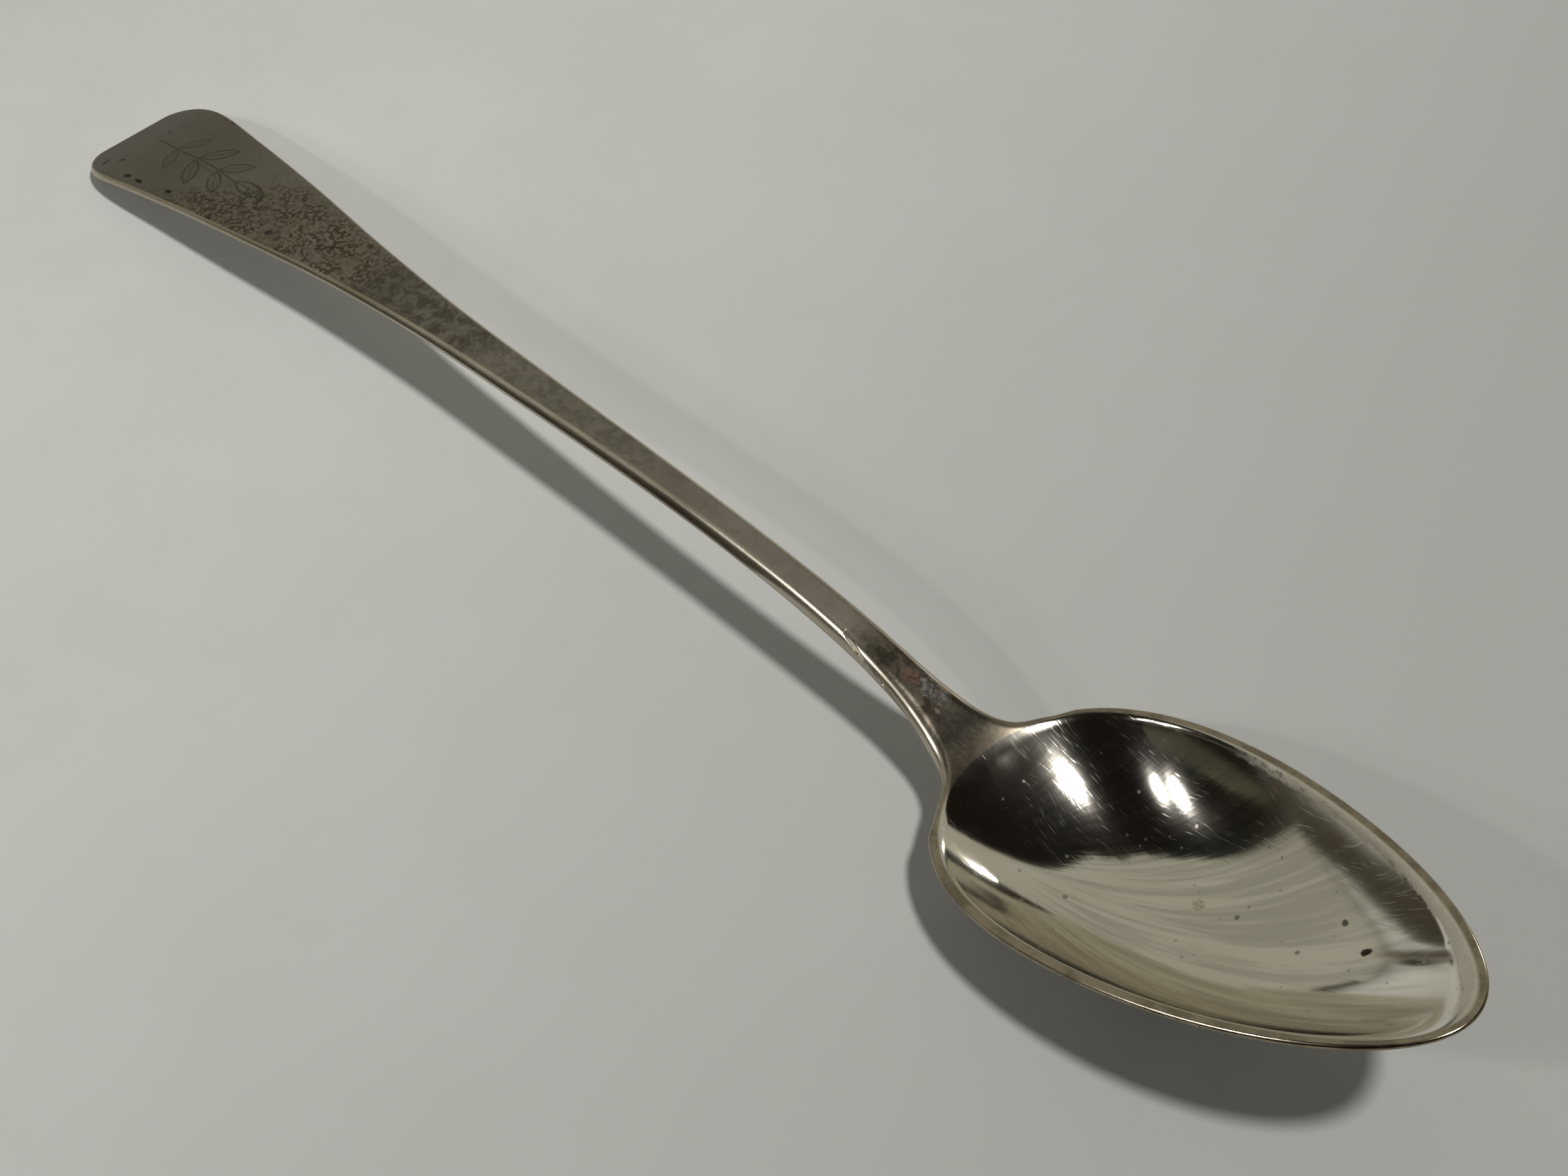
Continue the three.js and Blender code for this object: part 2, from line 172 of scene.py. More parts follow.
def plan_width(x):
    """The handle's half-width, its corners rounded off as a superellipse over the last END_CORNER."""
    t = np.clip((END_CORNER - x) / END_CORNER, 0, 1)
    return half_width(x) * (1 - t**END_SQUARE) ** (1 / END_SQUARE)


def egg(a, inset=0.0):
    """The bowl's edge in plan at angle a: half-length times cosine, half-width times sine times an egg
    factor, moved inwards at right angles to the edge by the inset."""
    step = 1e-3

    def at(u):
        c = np.cos(u)
        k = 1 - EGG_BLUNT * c + EGG_FULL * (c * c - 0.5) - EGG_FINE * c**3
        return BOWL_MID + BOWL_LENGTH / 2 * c, BOWL_WIDTH / 2 * np.sin(u) * k

    x, y = at(a)
    (x1, y1), (x0, y0) = at(a + step), at(a - step)
    run = np.hypot(x1 - x0, y1 - y0)
    return x - inset * (y1 - y0) / run, y + inset * (x1 - x0) / run


def rim_height(x):
    """The height of the bowl's edge: from the heel's to the tip's by the climb's polynomial."""
    return HEEL_HEIGHT + (TIP_HEIGHT - HEEL_HEIGHT) * edge_climb((x - HEEL) / BOWL_LENGTH)


def polar(inset):
    """The inset edge seen from the rest: radius, rim height and wall power as functions of the plan angle."""
    a = np.linspace(0, np.pi, 1501)
    x, y = egg(a, inset)
    angle = np.arctan2(np.abs(y), x - REST_X)
    radius = np.hypot(x - REST_X, y)
    rim = rim_height(egg(a)[0])
    power = WALL_POWER + SIDE_POWER * np.sin(a) ** 2
    order = np.argsort(angle)
    return lambda p: tuple(np.interp(p, angle[order], v[order]) for v in (radius, rim, power))


INNER, OUTER = polar(RIM_WIDTH), polar(0.0)


def soft_min(a, b, k):
    """The lower of two heights, rounded over k where they cross."""
    h = np.clip(0.5 + 0.5 * (b - a) / k, 0, 1)
    return b * (1 - h) + a * h - k * h * (1 - h)


def basin(x, y, law, floor):
    """A bowl surface: floor plus the climb to the rim times the share of the radius raised to the wall's
    power."""
    radius, rim, power = law(np.arctan2(np.abs(y), x - REST_X))
    return floor + (rim - floor) * (np.hypot(x - REST_X, y) / radius) ** power


def grid_mesh(name, points, wrap_u=False, wrap_v=False, cap_low=False, cap_high=False):
    """A mesh from an array of points (rows, columns, 3) in millimetres; a capped end row closes on its mean
    point."""
    rows, cols = points.shape[:2]
    verts = points.reshape(-1, 3)
    i = np.arange(rows if wrap_u else rows - 1)
    j = np.arange(cols if wrap_v else cols - 1)
    ii, jj = np.meshgrid(i, j, indexing="ij")
    i1, j1 = (ii + 1) % rows, (jj + 1) % cols
    quads = np.stack([ii * cols + jj, i1 * cols + jj, i1 * cols + j1, ii * cols + j1], -1).reshape(-1, 4)
    faces = quads.tolist()
    around = np.arange(cols)
    nxt = (around + 1) % cols
    for use, row, flip in ((cap_low, 0, False), (cap_high, rows - 1, True)):
        if use:
            verts = np.vstack([verts, points[row].mean(0)])
            pole = len(verts) - 1
            a, b = row * cols + around, row * cols + nxt
            tri = np.stack([np.full(cols, pole), b, a] if flip else [np.full(cols, pole), a, b], -1)
            faces += tri.tolist()
    mesh = bpy.data.meshes.new(name)
    mesh.from_pydata(((verts - [LENGTH / 2, 0, 0]) * MM).tolist(), [], faces)
    mesh.update()
    return mesh


def piece(name, mesh, replaces, crease):
    """A finished piece: normals outward, smooth but for edges sharper than the crease angle, riding on the
    spoon."""
    b = bmesh.new()
    b.from_mesh(mesh)
    bmesh.ops.remove_doubles(b, verts=b.verts, dist=MERGE_DISTANCE)
    bmesh.ops.recalc_face_normals(b, faces=b.faces)
    b.to_mesh(mesh)
    b.free()
    mesh.polygons.foreach_set("use_smooth", np.ones(len(mesh.polygons), bool))
    mesh.set_sharp_from_angle(angle=math.radians(crease))
    obj = bpy.data.objects.new(name, mesh)
    bpy.context.scene.collection.objects.link(obj)
    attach(obj, "root")
    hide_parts(*replaces)
    return obj


# The stem: one bar section carried along the handle, cut on top for the tang, ending in the tongue.
scarf_line = curve(
    [SCARF_TOP - 4, top_height(SCARF_TOP - 4) + 1.4], [SCARF_TOP, top_height(SCARF_TOP)],
    [SCARF_UPPER, top_height(SCARF_UPPER) - TANG_UPPER], [SCARF_LOWER, top_height(SCARF_LOWER) - TANG_LOWER],
    [TANG_FULL, top_height(TANG_FULL) - TANG_THICK],
    [SCARF_END, float(basin(SCARF_END, 0.0, OUTER, 0.0)) + 0.4],
    [HEEL + 5, float(basin(HEEL + 5.0, 0.0, OUTER, 0.0)) + 0.6],
)


def bar_section(x, w, top, thick, shoulder, drop, back, cut):
    """Rings of a bar: a flat top, elliptic shoulders r wide and d deep, and a superelliptic back. What
    stands above the cut is laid flat on it, and no wider than the bar is at that depth."""
    flat_n, round_n, back_n = 6, 14, 26
    r = np.minimum(shoulder, w * SHOULDER_SHARE)[:, None]
    d = np.minimum(drop, thick * 0.5)[:, None]
    w, top, thick, back, cut = (np.asarray(v)[:, None] for v in (w, top, thick, back, cut))
    s = np.linspace(0, 1, flat_n, endpoint=False)[None]
    a = np.linspace(0, np.pi / 2, round_n + 1)[None]
    b = np.linspace(0, np.pi / 2, back_n + 1)[None, 1:]
    y = np.hstack([(w - r) * s, w - r + r * np.sin(a), w * np.abs(np.cos(b)) ** (2 / back)])
    z = np.hstack([0 * s * w, -d + d * np.cos(a), -d - (thick - d) * np.sin(b) ** (2 / back)])
    z = top + z
    y[:, -1] = 0
    depth = np.clip((top - cut - d) / (thick - d), 0, 1)
    back_at_cut = w * (1 - depth**back) ** (1 / back)
    shoulder_at_cut = w - r + r * np.sqrt(np.clip(1 - (1 - (top - cut) / d) ** 2, 0, 1))
    at_cut = np.where(top - cut < d, shoulder_at_cut, back_at_cut)
    over = z > cut
    y = np.where(over & (cut < top), np.minimum(y, at_cut), y)
    z = np.where(over, cut, z)
    y = np.hstack([y, -y[:, -2:0:-1]])
    z = np.hstack([z, z[:, -2:0:-1]])
    return np.stack([np.broadcast_to(x[:, None], y.shape), y, z], -1)


def under_bowl(x):
    """The outside of the bowl along its middle."""
    return basin(x, 0.0 * x, OUTER, 0.0)


def bar_stations():
    """Stations of the bar, close together at the handle's end and at the scarf's top edge."""
    near_end = [0.02, 0.1, 0.25, 0.45, 0.7, 1.0, 1.4, 1.9, 2.5, 3.2, 4, 5, 6, 7.2, 8.5, 10]
    near_scarf = SCARF_TOP - 6
    return np.r_[
        near_end, np.arange(12, 40, 2.0), np.arange(40, near_scarf, 2.5),
        np.arange(near_scarf, SCARF_TOP - 0.05, 0.7), SCARF_TOP - 0.05, SCARF_TOP - 0.005,
        np.arange(SCARF_TOP, TONGUE_START, 0.6),
    ]


def bar_rings():
    """The bar up to the tongue. From the scarf's top on it is cut down to the scarf, less the solder, whose
    gap widens from almost nothing over the first stretch."""
    first_gap, gap_run = 0.02, 1.5
    x = bar_stations()
    gap = first_gap + (SOLDER_GAP - first_gap) * np.clip((x - SCARF_TOP) / gap_run, 0, 1)
    return bar_section(
        x, plan_width(x), bar_top(x, top_height), thickness(x) * edge_soft(x),
        shoulder_of(x), drop_of(x), back_of(x),
        np.where(x < SCARF_TOP, UNCUT, scarf_line(x) - gap),
    )


def tongue_rings():
    """The tongue: a bar between the scarf or the bowl's outside and a line below it that rises towards its
    end, its width a half ellipse over the last stretch. As it spreads, its shoulders shrink and its back
    gets squarer. Its top is made a little too high and cut down, to a little way into the bowl's wall."""
    bar_shoulder, tongue_shoulder, bar_back, squarer = 1.9, 0.5, 2.2, 0.2
    too_high, into_wall = 0.9, 0.6
    at = lambda share: HEEL + TONGUE * share
    below = lambda x, depth: [x, float(under_bowl(np.array([x]))[0]) - depth]
    bottom = curve(
        [TONGUE_START, top_height(TONGUE_START) - thickness(TONGUE_START)],
        [TONGUE_WIDE, top_height(TONGUE_WIDE) - thickness(TONGUE_WIDE) - 0.05],
        below(at(0.11), TONGUE_THICK + 0.35), below(at(0.38), TONGUE_THICK),
        below(at(0.66), TONGUE_THICK * 0.86), below(at(0.86), TONGUE_THICK * 0.6),
        below(TONGUE_END, TONGUE_THICK * 0.15),
    )
    narrowing = at(0.38)
    half = curve(
        [TONGUE_START, plan_width(TONGUE_START)], [TONGUE_WIDE, TONGUE_WIDTH / 2],
        [at(0.11), TONGUE_WIDTH / 2], [narrowing, TONGUE_WIDTH * 0.48],
    )
    first, spacing = HEEL - 5.1, 0.35
    round_end = narrowing + (TONGUE_END - narrowing) * np.sin(np.linspace(0, np.pi / 2, 26)[:-1])
    x = np.r_[np.arange(first, narrowing, spacing), round_end]
    t = np.clip((x - narrowing) / (TONGUE_END - narrowing), 0, 1)
    width = half(np.minimum(x, narrowing)) * np.sqrt(np.maximum(LEAST_TONGUE, 1 - t * t))
    roof = np.minimum(top_height(ROOF_END), under_bowl(x) + too_high)
    top = np.where(x < ROOF_END, top_height(x), roof)
    spread = np.clip((x - TONGUE_START) / (TONGUE_WIDE - TONGUE_START), 0, 1)
    shoulder = bar_shoulder + (tongue_shoulder - bar_shoulder) * spread
    wall_cut = np.where(x > SCARF_END, under_bowl(x) + into_wall, UNCUT)
    cut = np.minimum(scarf_line(x) - SOLDER_GAP, wall_cut)
    return bar_section(x, width, top, top - bottom(x), shoulder, shoulder, bar_back + squarer * spread, cut)


def stem_mesh():
    """The rings from the handle's end to the end of the tongue, closed at both ends."""
    return grid_mesh(
        "stem_skin", np.vstack([bar_rings(), tongue_rings()]), wrap_v=True, cap_low=True, cap_high=True
    )


# The bowl: a top sheet and a bottom sheet over one outline in plan, which runs from the tang round the
# bowl. Along it run the width and the depth of the cap's rounded edge, and the thickness of the sheet under
# the cap.
cap_round = curve(
    [SCARF_TOP, 1.9], [HEEL - 2, 1.9], [HEEL + 2, 1.6], [HEEL + 8, 1.05], [HEEL + 14, 1.0], [LENGTH, 1.0]
)
cap_drop = curve(
    [SCARF_TOP, 1.8], [HEEL - 2, 1.5], [HEEL + 2, 1.2], [HEEL + 8, 0.85], [HEEL + 14, 0.8], [LENGTH, 0.8]
)
under_depth = curve(
    [SCARF_TOP - 1, 0.03], [SCARF_TOP, 0.05], [SCARF_UPPER, TANG_UPPER], [SCARF_LOWER, TANG_LOWER],
    [TANG_FULL, TANG_THICK], [HEEL - 1.4, TANG_THICK * 0.88],
    [HEEL + 5, 1.5], [HEEL + 9, 0.95], [HEEL + 14, 0.8], [LENGTH, 0.8],
)


def cap_height(x):
    """The height of the tang's top and of the lip: a smooth step from the stem's top line to the bowl's
    rim."""
    start, run = 1, 7
    t = np.clip((x - HEEL - start) / run, 0, 1)
    blend = t**2 * (3 - 2 * t)
    return top_height(np.minimum(x, HEEL + start + run)) * (1 - blend) + rim_height(x) * blend


def edge_angle(x):
    """The angle at which the bowl's edge is at that station."""
    return np.arccos((x - BOWL_MID) / (BOWL_LENGTH / 2))


def run_length(x, y):
    """The length of a line of points from its start to each of them."""
    return np.r_[0, np.cumsum(np.hypot(np.diff(x), np.diff(y)))]


def neck_side(feather):
    """One side of the tang and of the neck's concave shoulder, up to the bowl's edge. Where the feathered
    tang is thinner than the bar's rounded shoulder, it is only as wide as the shoulder is at that depth."""
    start, join = HEEL - 9.4, HEEL + 4.8
    root, joined = N * 2.28, float(egg(edge_angle(join))[1]) - 0.9
    out = lambda share: root + (joined - root) * share
    shoulder = curve(
        *([x, plan_width(x)] for x in (start, TONGUE_START, TONGUE_WIDE)), [HEEL - 0.6, root],
        [HEEL + 0.6, out(0.12)], [HEEL + 1.6, out(0.277)], [HEEL + 2.5, out(0.494)], [HEEL + 3.6, out(0.757)],
        [join, joined],
    )
    x = np.linspace(SCARF_TOP, HEEL + 4.2, 900)
    y = np.where(x < start, plan_width(x), shoulder(x))
    if feather:
        rounding = np.minimum(cap_round(x), SHOULDER_SHARE * y)
        sunk = np.clip(1 - under_depth(x) / cap_drop(x), 0, 1)
        y = y - rounding * (1 - np.sqrt(1 - sunk**2))
    return x, y


def bowl_outline(count, feather=True):
    """Plan points from the tang's end round one side of the bowl to its tip, evenly spaced. Round the neck
    the corners are eased: each point there is a weighted mean of its neighbours, with a bell as the
    weights. The easing starts and ends at two lengths along the outline, and fades in and out there."""
    end_points, fine_points, ease = 40, 4000, 40
    ease_from, fade_in, ease_to, fade_out = 9, 6, 80, 20
    xn, yn = neck_side(feather)
    xe, ye = egg(np.linspace(edge_angle(HEEL + 5.6), 0, 2400))
    x = np.r_[np.full(end_points, SCARF_TOP), xn, xe]
    y = np.r_[np.linspace(0, yn[0], end_points, endpoint=False), yn, np.abs(ye)]
    s = run_length(x, y)
    fine = np.linspace(0, s[-1], fine_points)
    x, y = np.interp(fine, s, x), np.interp(fine, s, y)
    kernel = np.hanning(2 * ease + 1)
    kernel /= kernel.sum()
    sx = np.convolve(np.pad(x, ease, mode="reflect"), kernel, "valid")
    sy = np.convolve(np.r_[-y[ease:0:-1], y, -y[-2 : -ease - 2 : -1]], kernel, "valid")
    round_neck = np.clip((fine - ease_from) / fade_in, 0, 1) * np.clip((ease_to - fine) / fade_out, 0, 1)
    x, y = x + (sx - x) * round_neck, y + (sy - y) * round_neck
    s = run_length(x, y)
    even = np.linspace(0, s[-1], count)
    return np.interp(even, s, x), np.interp(even, s, y)


def edge_distance(x, y, ox, oy):
    """The plan distance from each point to the outline, as the nearest of its closely spaced points."""
    out = np.empty(x.size)
    fx, fy = x.ravel(), np.abs(y.ravel())
    block = 20000
    for k in range(0, x.size, block):
        dx = fx[k : k + block, None] - ox[None]
        dy = fy[k : k + block, None] - oy[None]
        out[k : k + block] = np.sqrt((dx * dx + dy * dy).min(1))
    return out.reshape(x.shape)


def rays(ox, oy, share):
    """Points at these shares of the way from the rest to the outline's points, one row for each share."""
    return REST_X + (ox[None] - REST_X) * share[:, None], oy[None] * share[:, None]


# Over what difference in height, in millimetres, the inside and the cap are rolled into each other, and how
# much more at the neck and at the tip, each with the angle, in radians, over which that fades.
ROLL, NECK_ROLL, TIP_ROLL = 0.95, 0.7, 1.5
NECK_FADE, TIP_FADE = 0.3, 0.45


def bowl_top(ox, oy, share):
    """The top sheet: the lower of the bowl's inside and the cap with its rounded edge, rolled into each
    other, more so at the neck and at the tip. The edge falls as a quarter ellipse over its rounding."""
    x, y = rays(ox, oy, share)
    edge_x, edge_y = bowl_outline(2600, feather=False)
    side = edge_x > SCARF_TOP + 0.01
    before = np.linspace(SCARF_TOP - 6, SCARF_TOP, 120)
    d = edge_distance(x, y, np.r_[before, edge_x[side]], np.r_[plan_width(before), edge_y[side]])
    r = np.minimum(cap_round(x), SHOULDER_SHARE * plan_width(np.minimum(x, HEEL - 2)))
    fall = cap_drop(x) * (1 - np.sqrt(np.clip(1 - np.clip(1 - d / r, 0, 1) ** 2, 0, 1)))
    angle = np.arctan2(np.abs(y), x - REST_X)
    at_neck = np.exp(-(((angle - np.pi) / NECK_FADE) ** 2))
    at_tip = np.exp(-((angle / TIP_FADE) ** 2))
    roll = ROLL + NECK_ROLL * at_neck + TIP_ROLL * at_tip
    return np.stack([x, y, soft_min(basin(x, y, INNER, WALL), cap_height(x) - fall, roll)], -1)


def bowl_bottom(ox, oy, share):
    """The bottom sheet: the lower of the bowl's outside, worn a little flat where it rests, and the cap
    less the thickness of the sheet."""
    least_depth, back_roll = 0.05, 0.5
    x, y = rays(ox, oy, share)
    depth = np.maximum(under_depth(x), np.where(x > HEEL - 3, cap_drop(x) + least_depth, least_depth))
    low = soft_min(basin(x, y, OUTER, -REST_WORN), cap_height(x) - depth, back_roll)
    return np.stack([x, y, np.maximum(low, 0.0)], -1)


def bowl_mesh():
    """Both sheets over rays from the rest to the outline, with the edge between them: rows run from the
    middle of the inside out to the edge and back to the middle of the outside."""
    ox, oy = bowl_outline(260)
    ox = np.r_[ox, ox[-2:0:-1]]
    oy = np.r_[oy, -oy[-2:0:-1]]
    inside = np.r_[
        np.linspace(0.02, 0.5, 30), np.linspace(0.5, 0.9, 52)[1:], np.linspace(0.9, 1, 40)[1:-1], 0.9996
    ]
    outside = np.r_[np.linspace(0.02, 0.86, 34), np.linspace(0.86, 1, 24)[1:-1], 0.9995][::-1]
    edge = np.stack([ox, oy, cap_height(ox) - np.minimum(cap_drop(ox), under_depth(ox))], -1)[None]
    rows = np.concatenate([bowl_top(ox, oy, inside), edge, bowl_bottom(ox, oy, outside)])
    return grid_mesh("bowl_skin", rows, wrap_v=True, cap_low=True, cap_high=True)


def spoon_points(obj):
    """The piece's points in millimetres from the handle's end."""
    v = np.empty(len(obj.data.vertices) * 3, np.float32)
    obj.data.vertices.foreach_get("co", v)
    return v.reshape(-1, 3) / MM + [LENGTH / 2, 0, 0]


def keep_mark(obj, name, *columns):
    """Stores three numbers with each point of the piece, for its material to read."""
    mark = obj.data.attributes.new(name, "FLOAT_VECTOR", "POINT")
    mark.data.foreach_set("vector", np.stack(columns, -1).astype(np.float32).ravel())


def mark_bar(obj):
    """Keeps with each point of the bar how far across it lies, -1 to 1, how deep, 0 to 1, and how squarely
    it faces the way the bar's top does there, which is the upright leaned back by the slope of the top
    line. The top's flat on both sides of the joint counts as facing fully, because the joint's step
    turns the normals there."""
    step, near_joint, middle, top_skin = 0.05, 0.15, 0.4, 0.1
    v = spoon_points(obj)
    x = np.clip(v[:, 0], step, HEEL)
    across = v[:, 1] / np.maximum(plan_width(x), 0.5)
    deep = (top_height(x) - v[:, 2]) / np.maximum(thickness(x), 0.5)
    normal = np.empty(len(v) * 3, np.float32)
    obj.data.vertex_normals.foreach_get("vector", normal)
    slope = (top_height(x + step) - top_height(x - step)) / (2 * step)
    facing = (normal[2::3] - slope * normal[0::3]) / np.hypot(1, slope)
    facing[(np.abs(x - SCARF_TOP) < near_joint) & (np.abs(across) < middle) & (deep < top_skin)] = 1
    keep_mark(obj, "bar", across, deep, facing)


def mark_bowl(obj):
    """Keeps with each point of the bowl its share of the radius, its plan angle over pi and whether it is
    inside, which is above the middle of the sheet or not far below the rim."""
    below_rim = 0.6
    v = spoon_points(obj)
    x, y = v[:, 0], v[:, 1]
    angle = np.arctan2(y, x - REST_X)
    share = np.hypot(x - REST_X, y) / INNER(np.abs(angle))[0]
    mid = (basin(x, y, INNER, WALL) + basin(x, y, OUTER, 0.0)) / 2
    inside = v[:, 2] > np.minimum(mid, rim_height(x) - below_rim)
    keep_mark(obj, "bowl", share, angle / np.pi, inside)


# Shared shading effects.
class Nodes:
    """A short way to build one node tree. A value is a number, colour, vector or another node's output."""

    def __init__(self, tree):
        self.tree = tree

    def add(self, kind, inputs=None, **props):
        """A node with its properties and inputs set."""
        node = self.tree.nodes.new(kind)
        for name, value in props.items():
            setattr(node, name, value)
        for name, value in (inputs or {}).items():
            self.set(node.inputs[name], value)
        return node

    def set(self, socket, value):
        """Links another node's output to the socket, or writes a plain value there."""
        if isinstance(value, bpy.types.NodeSocket):
            self.tree.links.new(value, socket)
        else:
            socket.default_value = value

    def math(self, operation, *values):
        return self.add("ShaderNodeMath", dict(enumerate(values)), operation=operation).outputs[0]

    def plus(self, a, b):
        return self.math("ADD", a, b)

    def minus(self, a, b):
        return self.math("SUBTRACT", a, b)

    def absolute(self, value):
        return self.math("ABSOLUTE", value)

    def times(self, first, *others):
        """The product of the values."""
        for value in others:
            first = self.math("MULTIPLY", first, value)
        return first

    def most(self, first, *others):
        """The greatest of the values, which joins masks."""
        for value in others:
            first = self.math("MAXIMUM", first, value)
        return first

    def vector(self, operation, *values):
        return self.add("ShaderNodeVectorMath", dict(enumerate(values)), operation=operation).outputs[0]

    def scaled(self, vector, amount):
        return self.add("ShaderNodeVectorMath", {0: vector, "Scale": amount}, operation="SCALE").outputs[0]

    def split(self, vector):
        """The three parts of a vector."""
        return self.add("ShaderNodeSeparateXYZ", {0: vector}).outputs

    def attribute(self, name):
        """The three numbers kept with each point under that name."""
        return self.add("ShaderNodeAttribute", attribute_name=name).outputs["Vector"]

    def mix(self, share, a, b):
        """Colour a, turned into colour b by that share."""
        return self.add("ShaderNodeMix", {0: share, 6: a, 7: b}, data_type="RGBA").outputs[2]

    def blend(self, share, a, b):
        """Number a, turned into number b by that share."""
        return self.add("ShaderNodeMix", {0: share, 2: a, 3: b}, data_type="FLOAT").outputs[0]

    def ramp(self, value, low, high, out_low=0.0, out_high=1.0):
        """A smooth step that rises as the value goes from low to high."""
        inputs = {"Value": value, "From Min": low, "From Max": high, "To Min": out_low, "To Max": out_high}
        return self.add("ShaderNodeMapRange", inputs, interpolation_type="SMOOTHSTEP").outputs[0]

    def noise(self, vector, scale, detail=4.0, rough=0.55, bend=0.0):
        """Cloudy noise between 0 and 1."""
        inputs = {"Vector": vector, "Scale": scale, "Detail": detail, "Roughness": rough, "Distortion": bend}
        return self.add("ShaderNodeTexNoise", inputs).outputs["Fac"]

    def cells(self, vector, scale):
        """Scattered points: the distance to the nearest one, and a random number that it has for itself."""
        node = self.add("ShaderNodeTexVoronoi", {"Vector": vector, "Scale": scale, "Randomness": 1.0})
        chance = self.add("ShaderNodeSeparateColor", {0: node.outputs["Color"]}).outputs[0]
        return node.outputs["Distance"], chance

    def stretch(self, vector, move=(0, 0, 0), turn=(0, 0, 0), scale=(1, 1, 1)):
        """The vector scaled, turned and moved, which draws a pattern out along a line."""
        inputs = {"Vector": vector, "Location": move, "Rotation": turn, "Scale": scale}
        return self.add("ShaderNodeMapping", inputs).outputs[0]

    def unit(self, vector, centre, turn, radii):
        """The place in a turned box round the centre, where its radii count as 1."""
        inputs = {"Vector": vector, "Location": centre, "Rotation": (0, 0, turn), "Scale": radii}
        return self.add("ShaderNodeMapping", inputs, vector_type="TEXTURE").outputs[0]

    def bump(self, height, strength, distance):
        inputs = {"Strength": strength, "Distance": distance, "Height": height}
        return self.add("ShaderNodeBump", inputs).outputs[0]

    def use(self, tree, **inputs):
        """A shared effect with its inputs set; an underscore in a name stands for a space."""
        node = self.add("ShaderNodeGroup", node_tree=tree)
        for name, value in inputs.items():
            self.set(node.inputs[name.replace("_", " ")], value)
        return node.outputs


VEC, NUM, COL = "NodeSocketVector", "NodeSocketFloat", "NodeSocketColor"


def group(name, inputs, outputs):
    """An empty shader node group with the named inputs (kind, default) and outputs (kind)."""
    tree = bpy.data.node_groups.new(name, "ShaderNodeTree")
    for label, kind, default in inputs:
        socket = tree.interface.new_socket(label, in_out="INPUT", socket_type=kind)
        if default is not None:
            socket.default_value = default
    for label, kind in outputs:
        tree.interface.new_socket(label, in_out="OUTPUT", socket_type=kind)
    n = Nodes(tree)
    return tree, n, n.add("NodeGroupInput").outputs, n.add("NodeGroupOutput").inputs


# Sets of scratches: their turn, their lean, and how many cells of noise lie across a metre; far fewer lie
# along it.
SCRATCH_SETS = ((0.35, 0.1, 5200), (1.25, -0.2, 6000), (2.2, 0.15, 4800), (2.9, -0.1, 6400))
SCRATCHES_ALONG = 260


def make_scratches():
    """Fine swirling scratches: thin cells of noise in several bent directions, kept only where they peak."""
    tree, n, i, o = group(
        "fine_scratches",
        [("Position", VEC, None), ("Size", NUM, 1.0), ("Bend", NUM, 0.004)], [("Mask", NUM), ("Height", NUM)],
    )
    warp = n.add("ShaderNodeTexNoise", {"Vector": i["Position"], "Scale": 70.0, "Detail": 1.0})
    centred = n.vector("SUBTRACT", warp.outputs["Color"], (0.5, 0.5, 0.5))
    bent = n.vector("ADD", i["Position"], n.scaled(centred, i["Bend"]))
    lines = []
    for k, (turn, lean, across) in enumerate(SCRATCH_SETS):
        scale = (SCRATCHES_ALONG, across, SCRATCHES_ALONG)
        drawn = n.stretch(bent, (k * 3.1, k * 1.7, 0), (lean, 0.3 * lean, turn), scale)
        line = n.ramp(n.noise(n.scaled(drawn, i["Size"]), 1.0, 1.0, 0.4), 0.64, 0.78)
        where = n.ramp(n.noise(n.stretch(i["Position"], (k, 2 * k, 0)), 140.0 + 45 * k, 2.0), 0.4, 0.62)
        lines.append(n.times(line, where))
    mask = n.most(*lines)
    n.set(o["Mask"], mask)
    n.set(o["Height"], n.times(mask, -1.0))
    return tree


def make_tarnish():
    """Tarnish in three sizes: broad drifts, ragged speckled patches, and a fine grain between them."""
    tree, n, i, o = group(
        "tarnish",
        [("Position", VEC, None), ("Spread", NUM, 0.5), ("Spot Scale", NUM, 300.0)],
        [("Drift", NUM), ("Patch", NUM), ("Grain", NUM), ("Spots", NUM)],
    )
    drift = n.noise(i["Position"], 28.0, 3.0, 0.6, 0.4)
    ragged = n.noise(i["Position"], 260.0, 8.0, 0.75, 0.8)
    low = n.minus(0.72, n.times(i["Spread"], 0.4))
    both = n.plus(n.times(drift, 0.5), n.times(ragged, 0.5))
    distance, chance = n.cells(i["Position"], i["Spot Scale"])
    size = n.times(n.ramp(chance, 0.86, 1.0), 0.25)
    spots = n.ramp(n.minus(distance, size), 0.03, -0.04)
    n.set(o["Drift"], drift)
    n.set(o["Patch"], n.ramp(both, low, n.plus(low, 0.06)))
    n.set(o["Grain"], n.noise(i["Position"], 1500.0, 4.0, 0.7))
    n.set(o["Spots"], n.times(spots, n.ramp(chance, 0.84, 0.88)))
    return tree


def make_blot():
    """One ragged blot: full where the unit position is within 1 of the centre, its edge broken up by fine
    noise."""
    tree, n, i, o = group(
        "blot", [("Unit", VEC, None), ("Position", VEC, None), ("Ragged", NUM, 0.5), ("Fine", NUM, 400.0)],
        [("Mask", NUM)],
    )
    length = n.add("ShaderNodeVectorMath", {0: i["Unit"]}, operation="LENGTH").outputs["Value"]
    fray = n.noise(i["Position"], i["Fine"], 6.0, 0.72)
    n.set(o["Mask"], n.ramp(n.plus(length, n.times(n.minus(fray, 0.5), i["Ragged"])), 1.05, 0.75))
    return tree


